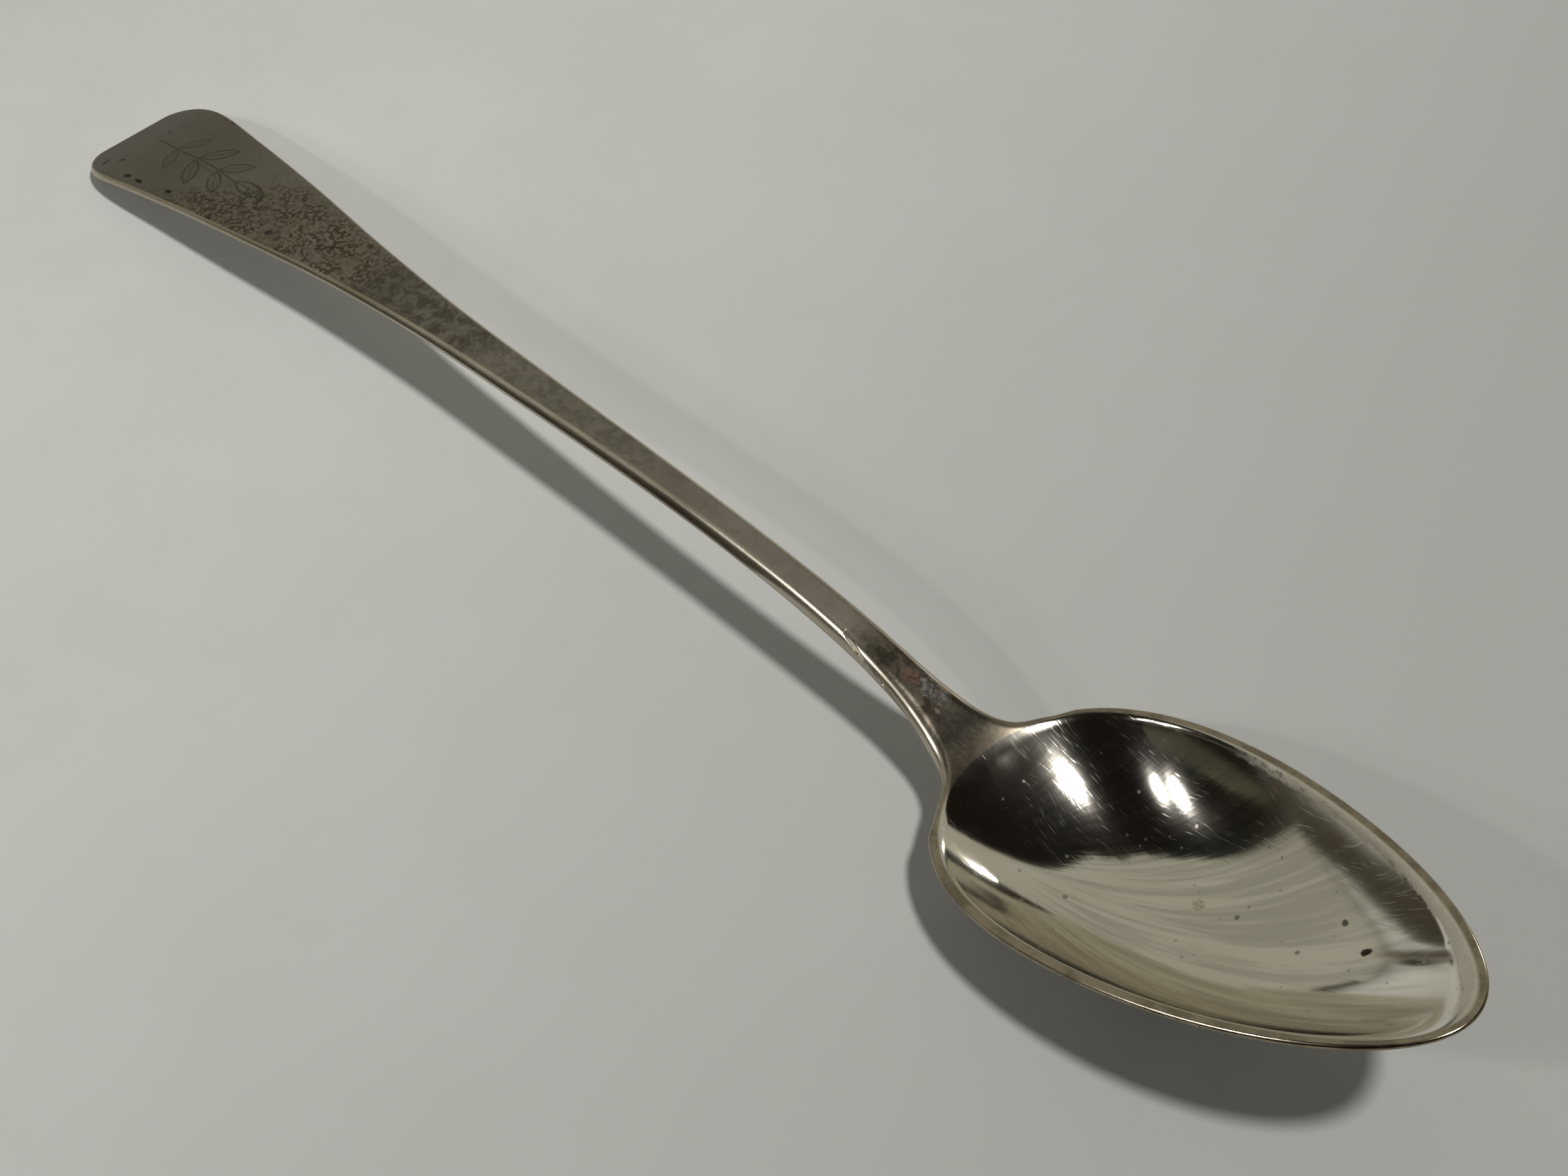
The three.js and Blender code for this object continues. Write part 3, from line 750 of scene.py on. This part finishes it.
# The sprig's leaves: how far along the stalk, in metres; how far beside it, in millimetres; their turn, and
# their half-length and half-width in millimetres.
LEAVES = (
    (0.0195, 0.0, 0.0, 4.6, 1.5),
    (0.0115, 2.6, 0.7, 3.6, 1.25), (0.0115, -2.6, -0.7, 3.6, 1.25),
    (0.0045, 3.3, 0.85, 3.9, 1.35), (0.0045, -3.3, -0.85, 3.9, 1.35),
    (-0.003, 2.9, 1.0, 3.2, 1.1), (-0.003, -2.9, -1.0, 3.2, 1.1),
)


def make_sprig():
    """An engraved sprig of leaves on a stalk. A leaf is the lens |y| = 1 - x squared, cut as its outline
    and its rib, and the stalk is a line that sways as a sine."""
    tree, n, i, o = group("engraved_sprig", [("Position", VEC, None)], [("Mask", NUM)])
    leaves = []
    for along_x, side, turn, length, width in LEAVES:
        x, y, _ = n.split(n.unit(i["Position"], (along_x, side * MM, 0), turn, (length * MM, width * MM, 1)))
        ax, ay = n.absolute(x), n.absolute(y)
        outline = n.ramp(n.absolute(n.minus(ay, n.minus(1.0, n.times(x, x)))), 0.30, 0.08)
        rib = n.times(n.ramp(ay, 0.20, 0.05), 0.8)
        leaves.append(n.times(n.most(outline, rib), n.ramp(ax, 1.05, 0.97)))
    x, y, _ = n.split(i["Position"])
    sway = n.times(n.math("SINE", n.times(x, 260.0)), 0.0003)
    stalk = n.ramp(n.absolute(n.minus(y, sway)), 0.0003, 0.0001)
    reach = n.times(n.ramp(x, -0.0125, -0.0115), n.ramp(x, 0.0155, 0.0145))
    n.set(o["Mask"], n.most(*leaves, n.times(stalk, reach)))
    return tree


SCRATCHES, TARNISH, BLOT, SPRIG = make_scratches(), make_tarnish(), make_blot(), make_sprig()


def station(s):
    """A station at that many millimetres from the handle's end, in metres in the spoon's frame."""
    return (s - LENGTH / 2) * MM


def place(s, y, z):
    """A point given by its distance from the handle's end, in metres in the spoon's frame."""
    return (station(s), y * MM, z * MM)


def blot(n, p, at, radii, turn=0.0, ragged=0.5, fine=400.0):
    """The mask of one blot at a point of the spoon, with radii in millimetres along, across and up."""
    unit = n.unit(p, place(*at), turn, tuple(r * MM for r in radii))
    return n.use(BLOT, Unit=unit, Position=p, Ragged=ragged, Fine=fine)["Mask"]


def material(name):
    """An empty material: itself, its nodes, its shader's inputs and the position on the piece."""
    m = bpy.data.materials.new(name)
    m.use_nodes = True
    m.node_tree.nodes.clear()
    n = Nodes(m.node_tree)
    shader = n.add("ShaderNodeBsdfPrincipled")
    n.add("ShaderNodeOutputMaterial", {0: shader.outputs[0]})
    return m, n, shader.inputs, n.add("ShaderNodeTexCoord").outputs["Object"]


# Colours of the plate, as linear red, green, blue and opacity. First the handle's flats and what lies on
# them.
FLAT, FLAT_BROWNER = (0.315, 0.290, 0.245, 1), (0.245, 0.222, 0.182, 1)
FLAT_MOTTLE, FLAT_GRAIN = (0.175, 0.152, 0.12, 1), (0.20, 0.175, 0.14, 1)
BROAD_END, END_EDGE_BROWN = (0.125, 0.110, 0.086, 1), (0.128, 0.110, 0.082, 1)
END_RUB = (0.085, 0.075, 0.06, 1)
CRUST, CRUST_SPECK, BROWN_MOTTLE = (0.20, 0.175, 0.115, 1), (0.072, 0.060, 0.032, 1), (0.088, 0.070, 0.054, 1)
PIT, ENGRAVED = (0.03, 0.024, 0.018, 1), (0.05, 0.042, 0.032, 1)
# The neck.
NECK_BROWN, NECK_DARK, NECK_LOW = (0.15, 0.130, 0.098, 1), (0.060, 0.049, 0.038, 1), (0.062, 0.054, 0.042, 1)
BLOOM_GREY, COPPER_RED, TAN_SPOT = (0.27, 0.265, 0.255, 1), (0.25, 0.145, 0.105, 1), (0.36, 0.27, 0.20, 1)
BLACK_SPECK = (0.02, 0.015, 0.012, 1)
# The rubbed shoulders, and the bowl's back, which is as bright.
RUBBED, RUBBED_BROWNER = (0.62, 0.57, 0.465, 1), (0.40, 0.355, 0.275, 1)
RUBBED_STREAK, RUBBED_DULL = (0.30, 0.25, 0.19, 1), (0.36, 0.305, 0.225, 1)
BACK_BROWNER = (0.50, 0.44, 0.34, 1)
# The inside of the bowl, and its lip.
# The streak colour is a painted reflection: darker streaks mirrored over the polished inside.
CLEAN, CLEAN_WARMER, STREAK_PAINTED_REFLECTION = (0.80, 0.765, 0.68, 1), (0.66, 0.60, 0.48, 1), (0.47, 0.445, 0.38, 1)
RING_BROWN, SPOT_BROWN, SCUFFED = (0.33, 0.26, 0.17, 1), (0.05, 0.04, 0.03, 1), (0.60, 0.56, 0.50, 1)
LIP, LIP_BROWNER = (0.36, 0.305, 0.215, 1), (0.20, 0.16, 0.105, 1)
SOLDER, SOLDER_DARK = (0.36, 0.325, 0.26, 1), (0.17, 0.14, 0.105, 1)

# Blots: their place from the handle's end, across and up, their radii, turn, raggedness and fineness.
BLOOM = ((213.0, 1.6, 15.0), (3.6, 1.9, 4.0), 0, 1.6, 520.0)
COPPER = ((209.6, 0.2, 15.6), (1.6, 1.3, 2.0), 0.3, 1.9, 750.0)
TAN_SPOTS = (
    ((214.0, 2.7, 14.5), (0.9, 0.5, 1), 0.5, 1.2, 900.0),
    ((215.6, -0.6, 14.0), (0.5, 0.4, 1), 0, 1.2, 900.0),
)
NECK_SPECK = ((211.0, 3.3, 15.2), (0.4, 0.3, 1), 0, 0.4, 900.0)
PITS = (
    ((16.6, -10.5, 7.3), (1.0, 0.6, 1.5), 0.3, 0.7, 800.0),
    ((20.2, -10.3, 8.0), (1.3, 0.5, 1.5), 0, 0.8, 800.0),
    ((28.6, -8.9, 9.3), (0.9, 0.55, 1.5), 0.1, 0.7, 800.0),
    ((9.4, -7.6, 5.4), (0.9, 0.35, 1.5), 0.6, 1.2, 800.0),
    ((6.4, -9.5, 4.2), (0.4, 1.2, 1.5), 0.2, 1.2, 800.0),
)
DARKEST_SPOT = ((285.4, 7.5, 17.2), (1.1, 0.6, 1.0), 0.3, 1.3, 900.0)
FAINTER_SPOTS = (
    (0.8, ((280.1, 10.4, 15.1), (0.6, 0.5, 0.7), 0, 1.3, 900.0)),
    (0.6, ((265.7, 7.0, 4.8), (0.5, 0.4, 0.6), 0, 1.3, 900.0)),
    (0.6, ((276.7, 5.5, 9.7), (0.4, 0.35, 0.5), 0, 1.3, 900.0)),
    (0.6, ((245.4, -5.7, 2.3), (0.45, 0.4, 0.6), 0, 1.3, 900.0)),
)
RING = ((259.8, 6.0, 2.7), (1.2, 0.9, 1.0), 0, 1.8, 700.0)
STREAKS_FROM = (231.0, -11.3, 0)
SPRIG_AT = (22.0, 0.6, 0)


def handle_flats(n, p, x, t, mottled):
    """Brown-grey plate of the handle's top, darker and rubbed across at its broad end."""
    colour = n.mix(n.ramp(t["Drift"], 0.35, 0.7), FLAT, FLAT_BROWNER)
    colour = n.mix(n.ramp(mottled, 0.45, 0.68, 0.0, 0.38), colour, FLAT_MOTTLE)
    colour = n.mix(n.ramp(t["Grain"], 0.42, 0.7, 0.0, 0.3), colour, FLAT_GRAIN)
    colour = n.mix(n.ramp(x, station(62), station(22), 0.0, 0.66), colour, BROAD_END)
    colour = n.mix(n.ramp(x, station(18), station(5), 0.0, 0.8), colour, END_EDGE_BROWN)
    rub = n.noise(n.stretch(p, turn=(0, 0, 0.5), scale=(90, 700, 90)), 1.0, 4.0, 0.6)
    rubbed = n.times(n.ramp(rub, 0.58, 0.72, 0.0, 0.45), n.ramp(x, station(45), station(25)))
    return n.mix(rubbed, colour, END_RUB)


def crusted(n, p, x, across, fray, speck, mottled, colour):
    """An olive crust of small speckles over the broad part, and browner mottling after it."""
    clump = n.ramp(n.noise(p, 250.0, 4.0, 0.65), 0.36, 0.54, 0.3, 1.0)
    start = n.minus(n.math("MULTIPLY_ADD", fray, 0.016, x), n.times(across, 0.0125))
    stop = n.math("MULTIPLY_ADD", fray, 0.02, x)
    crust = n.times(n.ramp(start, station(35), station(44)), n.ramp(stop, station(92), station(76)))
    crust = n.times(crust, n.ramp(n.plus(across, fray), 1.15, 0.6))
    colour = n.mix(n.times(crust, 0.42), colour, CRUST)
    colour = n.mix(n.times(crust, clump, n.ramp(speck, 0.44, 0.55, 0.0, 0.9)), colour, CRUST_SPECK)
    far = n.math("DIVIDE", n.minus(x, station(97)), 0.022)
    further = n.math("DIVIDE", n.minus(x, station(132)), 0.03)
    mottle = n.most(
        n.ramp(n.absolute(n.plus(far, fray)), 1.0, 0.5), n.times(n.ramp(n.absolute(further), 1.0, 0.4), 0.45)
    )
    return crust, n.mix(n.times(mottle, n.ramp(mottled, 0.40, 0.58, 0.22, 0.78)), colour, BROWN_MOTTLE)


def neck_brown(n, p, x, speck):
    """The neck: dark and mottled, with a grey bloom, a dull copper patch, tan spots and a black speck."""
    worn = n.ramp(n.noise(p, 330.0, 6.0, 0.72, 0.5), 0.42, 0.6)
    brown = n.mix(worn, NECK_BROWN, NECK_DARK)
    brown = n.mix(n.times(blot(n, p, *BLOOM), n.ramp(speck, 0.45, 0.6, 0.15, 0.8)), brown, BLOOM_GREY)
    brown = n.mix(n.times(blot(n, p, *COPPER), n.ramp(speck, 0.35, 0.6, 0.2, 0.75)), brown, COPPER_RED)
    brown = n.mix(n.times(n.most(*[blot(n, p, *spot) for spot in TAN_SPOTS]), 0.7), brown, TAN_SPOT)
    brown = n.mix(blot(n, p, *NECK_SPECK), brown, BLACK_SPECK)
    return n.mix(n.ramp(x, station(213), station(219), 0.0, 0.85), brown, NECK_LOW)


def rubbed_shoulder(n, p, x, t):
    """The bar's rounded shoulders, rubbed bright, with streaks along them, and duller towards the broad
    end."""
    bright = n.mix(n.ramp(t["Drift"], 0.4, 0.7), RUBBED, RUBBED_BROWNER)
    streaks = n.noise(n.stretch(p, scale=(60, 900, 900)), 1.0, 3.0)
    shoulder = n.mix(n.ramp(streaks, 0.5, 0.75, 0.0, 0.5), bright, RUBBED_STREAK)
    return n.mix(n.ramp(x, station(120), station(70), 0.0, 0.65), shoulder, RUBBED_DULL)


def make_old_plate():
    """Tarnished plate of the handle and neck: brown-grey flats, ragged dark patches, pits, and bright
    shoulders."""
    tree, n, i, o = group(
        "old_plate", [("Position", VEC, None), ("Bar", VEC, None)],
        [("Colour", COL), ("Roughness", NUM), ("Height", NUM), ("Flat", NUM)],
    )
    p = i["Position"]
    t = n.use(TARNISH, Position=p, Spread=0.42, Spot_Scale=300.0)
    across, deep, facing = n.split(i["Bar"])
    x = n.split(p)[0]
    flat = n.times(n.ramp(facing, 0.86, 0.965), n.ramp(deep, 0.5, 0.3))
    mottled = n.noise(p, 420.0, 6.0, 0.72, 0.6)
    speck = n.noise(p, 1250.0, 2.0, 0.5)
    fray = n.times(n.minus(n.noise(p, 210.0, 5.0, 0.7), 0.5), 0.9)

    colour = handle_flats(n, p, x, t, mottled)
    crust, colour = crusted(n, p, x, across, fray, speck, mottled, colour)
    neck = n.ramp(n.plus(x, n.times(fray, 0.008)), station(196), station(204))
    colour = n.mix(neck, colour, neck_brown(n, p, x, speck))
    pits = n.times(n.most(*[blot(n, p, *pit) for pit in PITS], n.times(t["Spots"], 0.75)), flat)
    colour = n.mix(pits, colour, PIT)
    n.set(o["Colour"], n.mix(flat, rubbed_shoulder(n, p, x, t), colour))

    rough = n.math("MULTIPLY_ADD", t["Grain"], 0.14, 0.36)
    rough = n.plus(rough, n.times(n.most(crust, pits), 0.1))
    rough = n.minus(rough, n.times(neck, 0.14))
    n.set(o["Roughness"], n.blend(flat, n.math("MULTIPLY_ADD", t["Grain"], 0.08, 0.235), rough))
    height = n.plus(n.times(t["Grain"], 0.6), n.times(n.most(crust, neck), speck, -2.0))
    n.set(o["Height"], n.times(n.plus(height, n.times(pits, -3.0)), flat))
    n.set(o["Flat"], flat)
    return tree


OLD_PLATE = make_old_plate()


def fan_streaks(n, p, share, inside):
    """Wavering streaks that fan out over the inside from the near corner of the heel, and where they show.
    They ripple the surface, and where they darken its colour they are a painted reflection. Noise is read by
    the angle round that corner, drawn tight, and by the distance from it, drawn long."""
    fx, fy, _ = n.split(n.vector("SUBTRACT", p, place(*STREAKS_FROM)))
    fan = n.times(n.math("ARCTAN2", fy, fx), 21.0)
    away = n.times(n.math("SQRT", n.plus(n.times(fx, fx), n.times(fy, fy))), 34.0)
    ripple_and_painted_reflection = n.noise(n.add("ShaderNodeCombineXYZ", {0: fan, 1: away}).outputs[0], 1.0, 3.5, 0.6, 0.25)
    return ripple_and_painted_reflection, n.times(n.ramp(away, 0.2, 0.6), n.ramp(share, 0.97, 0.85), inside)


def scuffed_band(n, p, share, turn, inside):
    """The mask of the pale band just inside the far edge, with a frayed edge and gaps."""
    wide = n.plus(share, n.times(n.minus(n.noise(p, 500.0, 6.0, 0.75), 0.5), 0.045))
    band = n.times(n.ramp(wide, 0.962, 0.972), n.ramp(wide, 1.0, 0.99))
    band = n.times(band, n.times(n.ramp(turn, -0.02, 0.03), n.ramp(turn, 0.55, 0.4)))
    return n.times(band, n.times(inside, n.ramp(n.noise(p, 700.0, 4.0, 0.7), 0.32, 0.5, 0.35, 1.0)))


def bowl_silver():
    """Polished plate, finely scratched, with small dark spots and a pale scuffed band; the neck is as the
    handle is."""
    m, n, s, p = material("polished_silver")
    t = n.use(TARNISH, Position=p, Spread=0.3, Spot_Scale=800.0)
    scratches = n.use(SCRATCHES, Position=p, Size=1.0, Bend=0.006)
    old = n.use(OLD_PLATE, Position=p, Bar=n.attribute("bar"))
    share, turn, inside = n.split(n.attribute("bowl"))
    ragged_x = n.plus(n.split(p)[0], n.times(n.noise(p, 300.0, 4.0, 0.6), 0.004))
    neck = n.ramp(ragged_x, station(HEEL + 6), station(HEEL - 1))

    colour = n.mix(n.ramp(t["Drift"], 0.4, 0.75, 0.0, 0.5), CLEAN, CLEAN_WARMER)
    ripple_and_painted_reflection, near = fan_streaks(n, p, share, inside)
    # Painted reflection: the streaks darken the inside's colour, standing in for dark streaks mirrored in it.
    colour = n.mix(n.times(n.ramp(ripple_and_painted_reflection, 0.42, 0.62, 0.0, 0.6), near), colour, STREAK_PAINTED_REFLECTION)
    spots = n.most(
        blot(n, p, *DARKEST_SPOT), *[n.times(blot(n, p, *spot), strength) for strength, spot in FAINTER_SPOTS]
    )
    dark = n.most(spots, n.times(t["Spots"], 0.35))
    ring = n.times(blot(n, p, *RING), n.ramp(n.noise(p, 1400.0, 3.0), 0.4, 0.6, 0.15, 0.6))
    colour = n.mix(dark, n.mix(ring, colour, RING_BROWN), SPOT_BROWN)
    band = scuffed_band(n, p, share, turn, inside)
    colour = n.mix(n.times(band, 0.85), colour, SCUFFED)

    # The back, mildly clouded, and the browner metal of the lip.
    back = n.mix(n.ramp(n.noise(p, 60.0, 5.0, 0.6), 0.4, 0.66), RUBBED, BACK_BROWNER)
    colour = n.mix(inside, back, colour)
    lip = n.ramp(share, 0.998, 1.012)
    lip_tone = n.mix(n.ramp(n.noise(p, 160.0, 5.0, 0.7), 0.4, 0.62), LIP, LIP_BROWNER)
    colour = n.mix(n.times(lip, 0.9), colour, lip_tone)
    n.set(s["Base Color"], n.mix(neck, colour, old["Colour"]))
    s["Metallic"].default_value = 1.0

    rough = n.plus(n.times(scratches["Mask"], 0.08), 0.085)
    rough = n.plus(rough, n.times(n.ramp(t["Drift"], 0.4, 0.8), 0.04))
    rough = n.plus(rough, n.times(n.most(lip, n.minus(1.0, inside)), 0.1))
    rough = n.plus(rough, n.times(n.most(band, dark), 0.3))
    n.set(s["Roughness"], n.blend(neck, rough, old["Roughness"]))
    wave = n.times(ripple_and_painted_reflection, near, 1.5)
    height = n.plus(n.times(scratches["Height"], 0.34), n.plus(wave, n.times(old["Height"], neck)))
    n.set(s["Normal"], n.bump(height, 0.3, 0.00002))
    return m


def stem_silver():
    """The handle's tarnished plate, with a sprig engraved on the broad end."""
    m, n, s, p = material("tarnished_silver")
    old = n.use(OLD_PLATE, Position=p, Bar=n.attribute("bar"))
    scratches = n.use(SCRATCHES, Position=p, Size=0.7, Bend=0.003)
    sprig = n.use(SPRIG, Position=n.vector("SUBTRACT", p, place(*SPRIG_AT)))["Mask"]
    cut = n.times(sprig, old["Flat"], n.ramp(n.noise(p, 900.0, 3.0), 0.3, 0.5, 0.55, 1.0))
    n.set(s["Base Color"], n.mix(n.times(cut, 0.62), old["Colour"], ENGRAVED))
    s["Metallic"].default_value = 1.0
    n.set(s["Roughness"], n.plus(old["Roughness"], n.times(scratches["Mask"], 0.05)))
    height = n.plus(old["Height"], n.plus(n.times(scratches["Height"], 0.6), n.times(cut, -5.0)))
    n.set(s["Normal"], n.bump(height, 0.35, 0.00003))
    return m


def solder_metal():
    """Hard solder, filed flush and tarnished like the plate beside it, a little duller."""
    m, n, s, p = material("hard_solder")
    t = n.use(TARNISH, Position=p, Spread=0.6, Spot_Scale=300.0)
    n.set(s["Base Color"], n.mix(n.times(t["Patch"], 0.5), SOLDER, SOLDER_DARK))
    s["Metallic"].default_value = 1.0
    n.set(s["Roughness"], n.math("MULTIPLY_ADD", t["Grain"], 0.12, 0.26))
    return m


SMOOTH_UNDER = 50
bowl = piece("bowl_body", bowl_mesh(), ["bowl"], SMOOTH_UNDER)
stem = piece("stem_body", stem_mesh(), ["stem"], SMOOTH_UNDER)
mark_bowl(bowl)
mark_bar(bowl)
mark_bar(stem)
bowl.data.materials.append(bowl_silver())
stem.data.materials.append(stem_silver())
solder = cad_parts["solder_seam"]
solder.data.materials.clear()
solder.data.materials.append(solder_metal())


# The camera, at the photograph's viewing angle, and its frame. Its angles are in radians: yaw is its
# heading, pitch how far it looks down, and roll how far it leans.
FRAME_WIDTH, FOCAL_PIXELS, SENSOR_WIDTH = 2212, 3415.88, 36.0
NEAREST, FARTHEST = 0.01, 50
EYE = Vector((0.2130588, -0.1554386, 0.2916927))
YAW, PITCH, ROLL = 2.4366, 0.8580, 0.0783


def camera_axes():
    """The camera's right, its down and the way it looks: turned by yaw and pitch, then leaned by roll."""
    ahead = Vector((math.cos(YAW) * math.cos(PITCH), math.sin(YAW) * math.cos(PITCH), -math.sin(PITCH)))
    level = Vector((math.sin(YAW), -math.cos(YAW), 0))
    steep = ahead.cross(level)
    right = level * math.cos(ROLL) + steep * math.sin(ROLL)
    down = steep * math.cos(ROLL) - level * math.sin(ROLL)
    return right, down, ahead


camera = bpy.data.objects.new("camera", bpy.data.cameras.new("camera"))
bpy.context.scene.collection.objects.link(camera)
camera.data.sensor_fit = "HORIZONTAL"
camera.data.sensor_width = SENSOR_WIDTH
camera.data.lens = FOCAL_PIXELS / FRAME_WIDTH * SENSOR_WIDTH
camera.data.clip_start, camera.data.clip_end = NEAREST, FARTHEST
right, down, ahead = camera_axes()
camera.matrix_world = Matrix([[right[i], -down[i], -ahead[i], EYE[i]] for i in range(3)] + [[0, 0, 0, 1]])
bpy.context.scene.camera = camera


# The stage: a pale cloth on the table, and what the silver reflects.
# The cloth's side colour is painted shade: the cloth is darker where the light falls off towards the bowl's
# side.
CLOTH, CLOTH_PAINTED_SHADE, CLOTH_DRIFT = (0.565, 0.574, 0.557, 1), (0.335, 0.340, 0.327, 1), (0.36, 0.36, 0.335, 1)
CLOTH_SPECK = (0.09, 0.085, 0.08, 1)
TABLE_HALF, TENT_RADIUS, PANEL_DISTANCE = 9, 9.0, 7
BOWL_AT = Vector(place(252, 0, 10))


def plain(name, colour, rough):
    """A dull material of one colour."""
    m, _, s, _ = material(name)
    s["Base Color"].default_value = (*colour, 1)
    s["Roughness"].default_value = rough
    s["Specular IOR Level"].default_value = 0.2
    return m


def table_cloth():
    """Pale woven cloth: a soft drift of tone, darker towards the bowl's side as painted shade where the light
    falls off, a fine grain and a few dark specks."""
    m, n, s, p = material("table_cloth")
    x, y, _ = n.split(p)
    # Painted shade: the cloth darkens towards the bowl's side, standing in for the light's falloff there.
    colour = n.mix(n.ramp(n.plus(x, n.times(y, 0.19)), -0.16, 0.16), CLOTH, CLOTH_PAINTED_SHADE)
    colour = n.mix(n.ramp(n.noise(p, 22.0, 5.0, 0.6), 0.35, 0.65, 0.0, 0.12), colour, CLOTH_DRIFT)
    distance, chance = n.cells(p, 45.0)
    speck = n.ramp(n.minus(distance, n.ramp(chance, 0.9, 1.0, 0.0, 0.035)), 0.008, -0.008)
    n.set(s["Base Color"], n.mix(n.times(speck, n.ramp(chance, 0.9, 0.93)), colour, CLOTH_SPECK))
    s["Roughness"].default_value = 0.95
    s["Specular IOR Level"].default_value = 0.1
    weave = n.noise(n.stretch(p, turn=(0, 0, 0.7), scale=(1, 0.35, 1)), 2400.0, 3.0, 0.6)
    n.set(s["Normal"], n.bump(n.plus(n.times(n.noise(p, 30.0, 4.0, 0.55), 14.0), weave), 0.35, 0.0001))
    return m


def stage_piece(name, points, faces, mat):
    """A piece of the stage from its points, in metres, and its faces."""
    mesh = bpy.data.meshes.new(name)
    mesh.from_pydata([tuple(point) for point in points], [], faces)
    obj = bpy.data.objects.new(name, mesh)
    bpy.context.scene.collection.objects.link(obj)
    mesh.materials.append(mat)
    return obj


def reflected_panel(name, points, mat):
    """A panel through its corners that shows only in reflections."""
    obj = stage_piece(name, points, [tuple(range(len(points)))], mat)
    obj.visible_camera = obj.visible_shadow = obj.visible_transmission = obj.visible_diffuse = False


def direction(azimuth, elevation):
    """The unit vector towards an azimuth and an elevation in degrees."""
    a, e = math.radians(azimuth), math.radians(elevation)
    return Vector((math.cos(a) * math.cos(e), math.sin(a) * math.cos(e), math.sin(e)))


# The lower edge of the tent, in degrees over the horizon by azimuth: it leaves a pale opening behind the
# spoon.
TENT_EDGE = np.array([
    [-180, 79], [-155, 74], [-142, 62], [-136, 45], [-135, -1.5], [77, -1.5],
    [78, 36], [82, 52], [87, 68], [110, 76], [150, 79], [180, 79],
], float)


def tent_surface():
    """Part of a dome over the spoon: each rib runs from its lower edge up to the top."""
    azimuth = np.unique(np.r_[np.arange(-180, 181, 6.0), TENT_EDGE[:, 0]])
    low = np.interp(azimuth, TENT_EDGE[:, 0], TENT_EDGE[:, 1])
    height = np.radians(low[None] + (90 - low[None]) * np.linspace(0, 1, 16)[:, None])
    turn = np.radians(azimuth)[None]
    ball = np.stack([np.cos(turn) * np.cos(height), np.sin(turn) * np.cos(height), np.sin(height)], -1)
    rows, cols = height.shape
    i, j = np.meshgrid(np.arange(rows - 1), np.arange(cols - 1), indexing="ij")
    near = i * cols + j
    quads = np.stack([near, near + 1, near + cols + 1, near + cols], -1).reshape(-1, 4)
    return (ball.reshape(-1, 3) * TENT_RADIUS + np.array(BOWL_AT)).tolist(), quads.tolist()


corners = [(x * TABLE_HALF, y * TABLE_HALF, 0) for x, y in ((-1, -1), (1, -1), (1, 1), (-1, 1))]
stage_piece("table", corners, [(0, 1, 2, 3)], table_cloth())

# A black tent round the camera's side: polished silver needs its reflection to show its form.
tent = stage_piece("tent", *tent_surface(), plain("black_cloth", (0.072, 0.058, 0.048), 1.0))
tent.visible_camera = tent.visible_shadow = tent.visible_transmission = False

# A low dark strip along the far horizon, which draws the dark line under the bowl's near edge, and a strip
# of pale green cloth on the camera's side, which draws the soft slanting streak over the bowl's far wall.
STRIP = ((92, -0.4), (165, -0.4), (165, 1.2), (92, 3.4))
VEIL = (
    (-97, 28), (-111.5, 14), (-120, 6.5), (-128, 0.8),
    (-130.5, 1.8), (-123, 10.5), (-113.5, 19), (-101, 30),
)
for name, edge, colour in (
    ("dark_strip", STRIP, (0.05, 0.038, 0.03)),
    ("grey_veil", VEIL, (0.46, 0.48, 0.37)),
):
    reflected_panel(name, [direction(a, e) * PANEL_DISTANCE for a, e in edge], plain(name, colour, 1.0))

# A brown card lying on the table beside the bowl: its corners by azimuth and distance from a point under
# the bowl.
CARD_FROM = Vector(place(276, 16, 0.1))
CARD = (
    (-118, 1.7), (-124, 0.34), (-130, 0.25), (-141, 0.15), (-155, 0.12), (-168, 0.11),
    (-170, 0.185), (-167, 0.28), (-160, 0.32), (-154, 0.36), (-148, 0.37), (-138, 1.7),
)
corners = [CARD_FROM + direction(a, 0) * d for a, d in CARD]
reflected_panel("card", corners, plain("brown_card", (0.024, 0.017, 0.008), 0.9))

# The lamps, round and soft. Each has its azimuth and elevation in degrees, seen from the bowl, its size in
# metres, its power in watts and its colour.
LAMP_DISTANCE = 1.5
SOFT_WHITE, WARM_WHITE, WARMER_WHITE = (1.0, 0.985, 0.96), (1.0, 0.98, 0.95), (1.0, 0.98, 0.92)
LAMPS = {
    "key_lamp": (7, 69.5, 0.15, 18.5, SOFT_WHITE),
    "side_lamp": (-116, 31, 0.15, 1.9, SOFT_WHITE),
    "upper_side_lamp": (-110, 39.5, 0.075, 3.1, SOFT_WHITE),
    "back_lamp": (32, 48, 0.025, 0.12, WARM_WHITE),
    "low_lamp": (95, 9, 0.12, 1.6, WARMER_WHITE),
}
for name, (azimuth, elevation, size, power, colour) in LAMPS.items():
    data = bpy.data.lights.new(name, "AREA")
    data.shape, data.size, data.energy, data.color = "DISK", size, power, colour
    lamp = bpy.data.objects.new(name, data)
    bpy.context.scene.collection.objects.link(lamp)
    towards = direction(azimuth, elevation)
    lamp.location = BOWL_AT + towards * LAMP_DISTANCE
    lamp.rotation_mode = "QUATERNION"
    lamp.rotation_quaternion = towards.to_track_quat("Z", "Y")

world = bpy.data.worlds.new("studio")
bpy.context.scene.world = world
world.use_nodes = True
background = world.node_tree.nodes["Background"].inputs
background["Color"].default_value = (0.365, 0.356, 0.30, 1)
background["Strength"].default_value = 1.0
bpy.context.scene.view_settings.view_transform = "Standard"
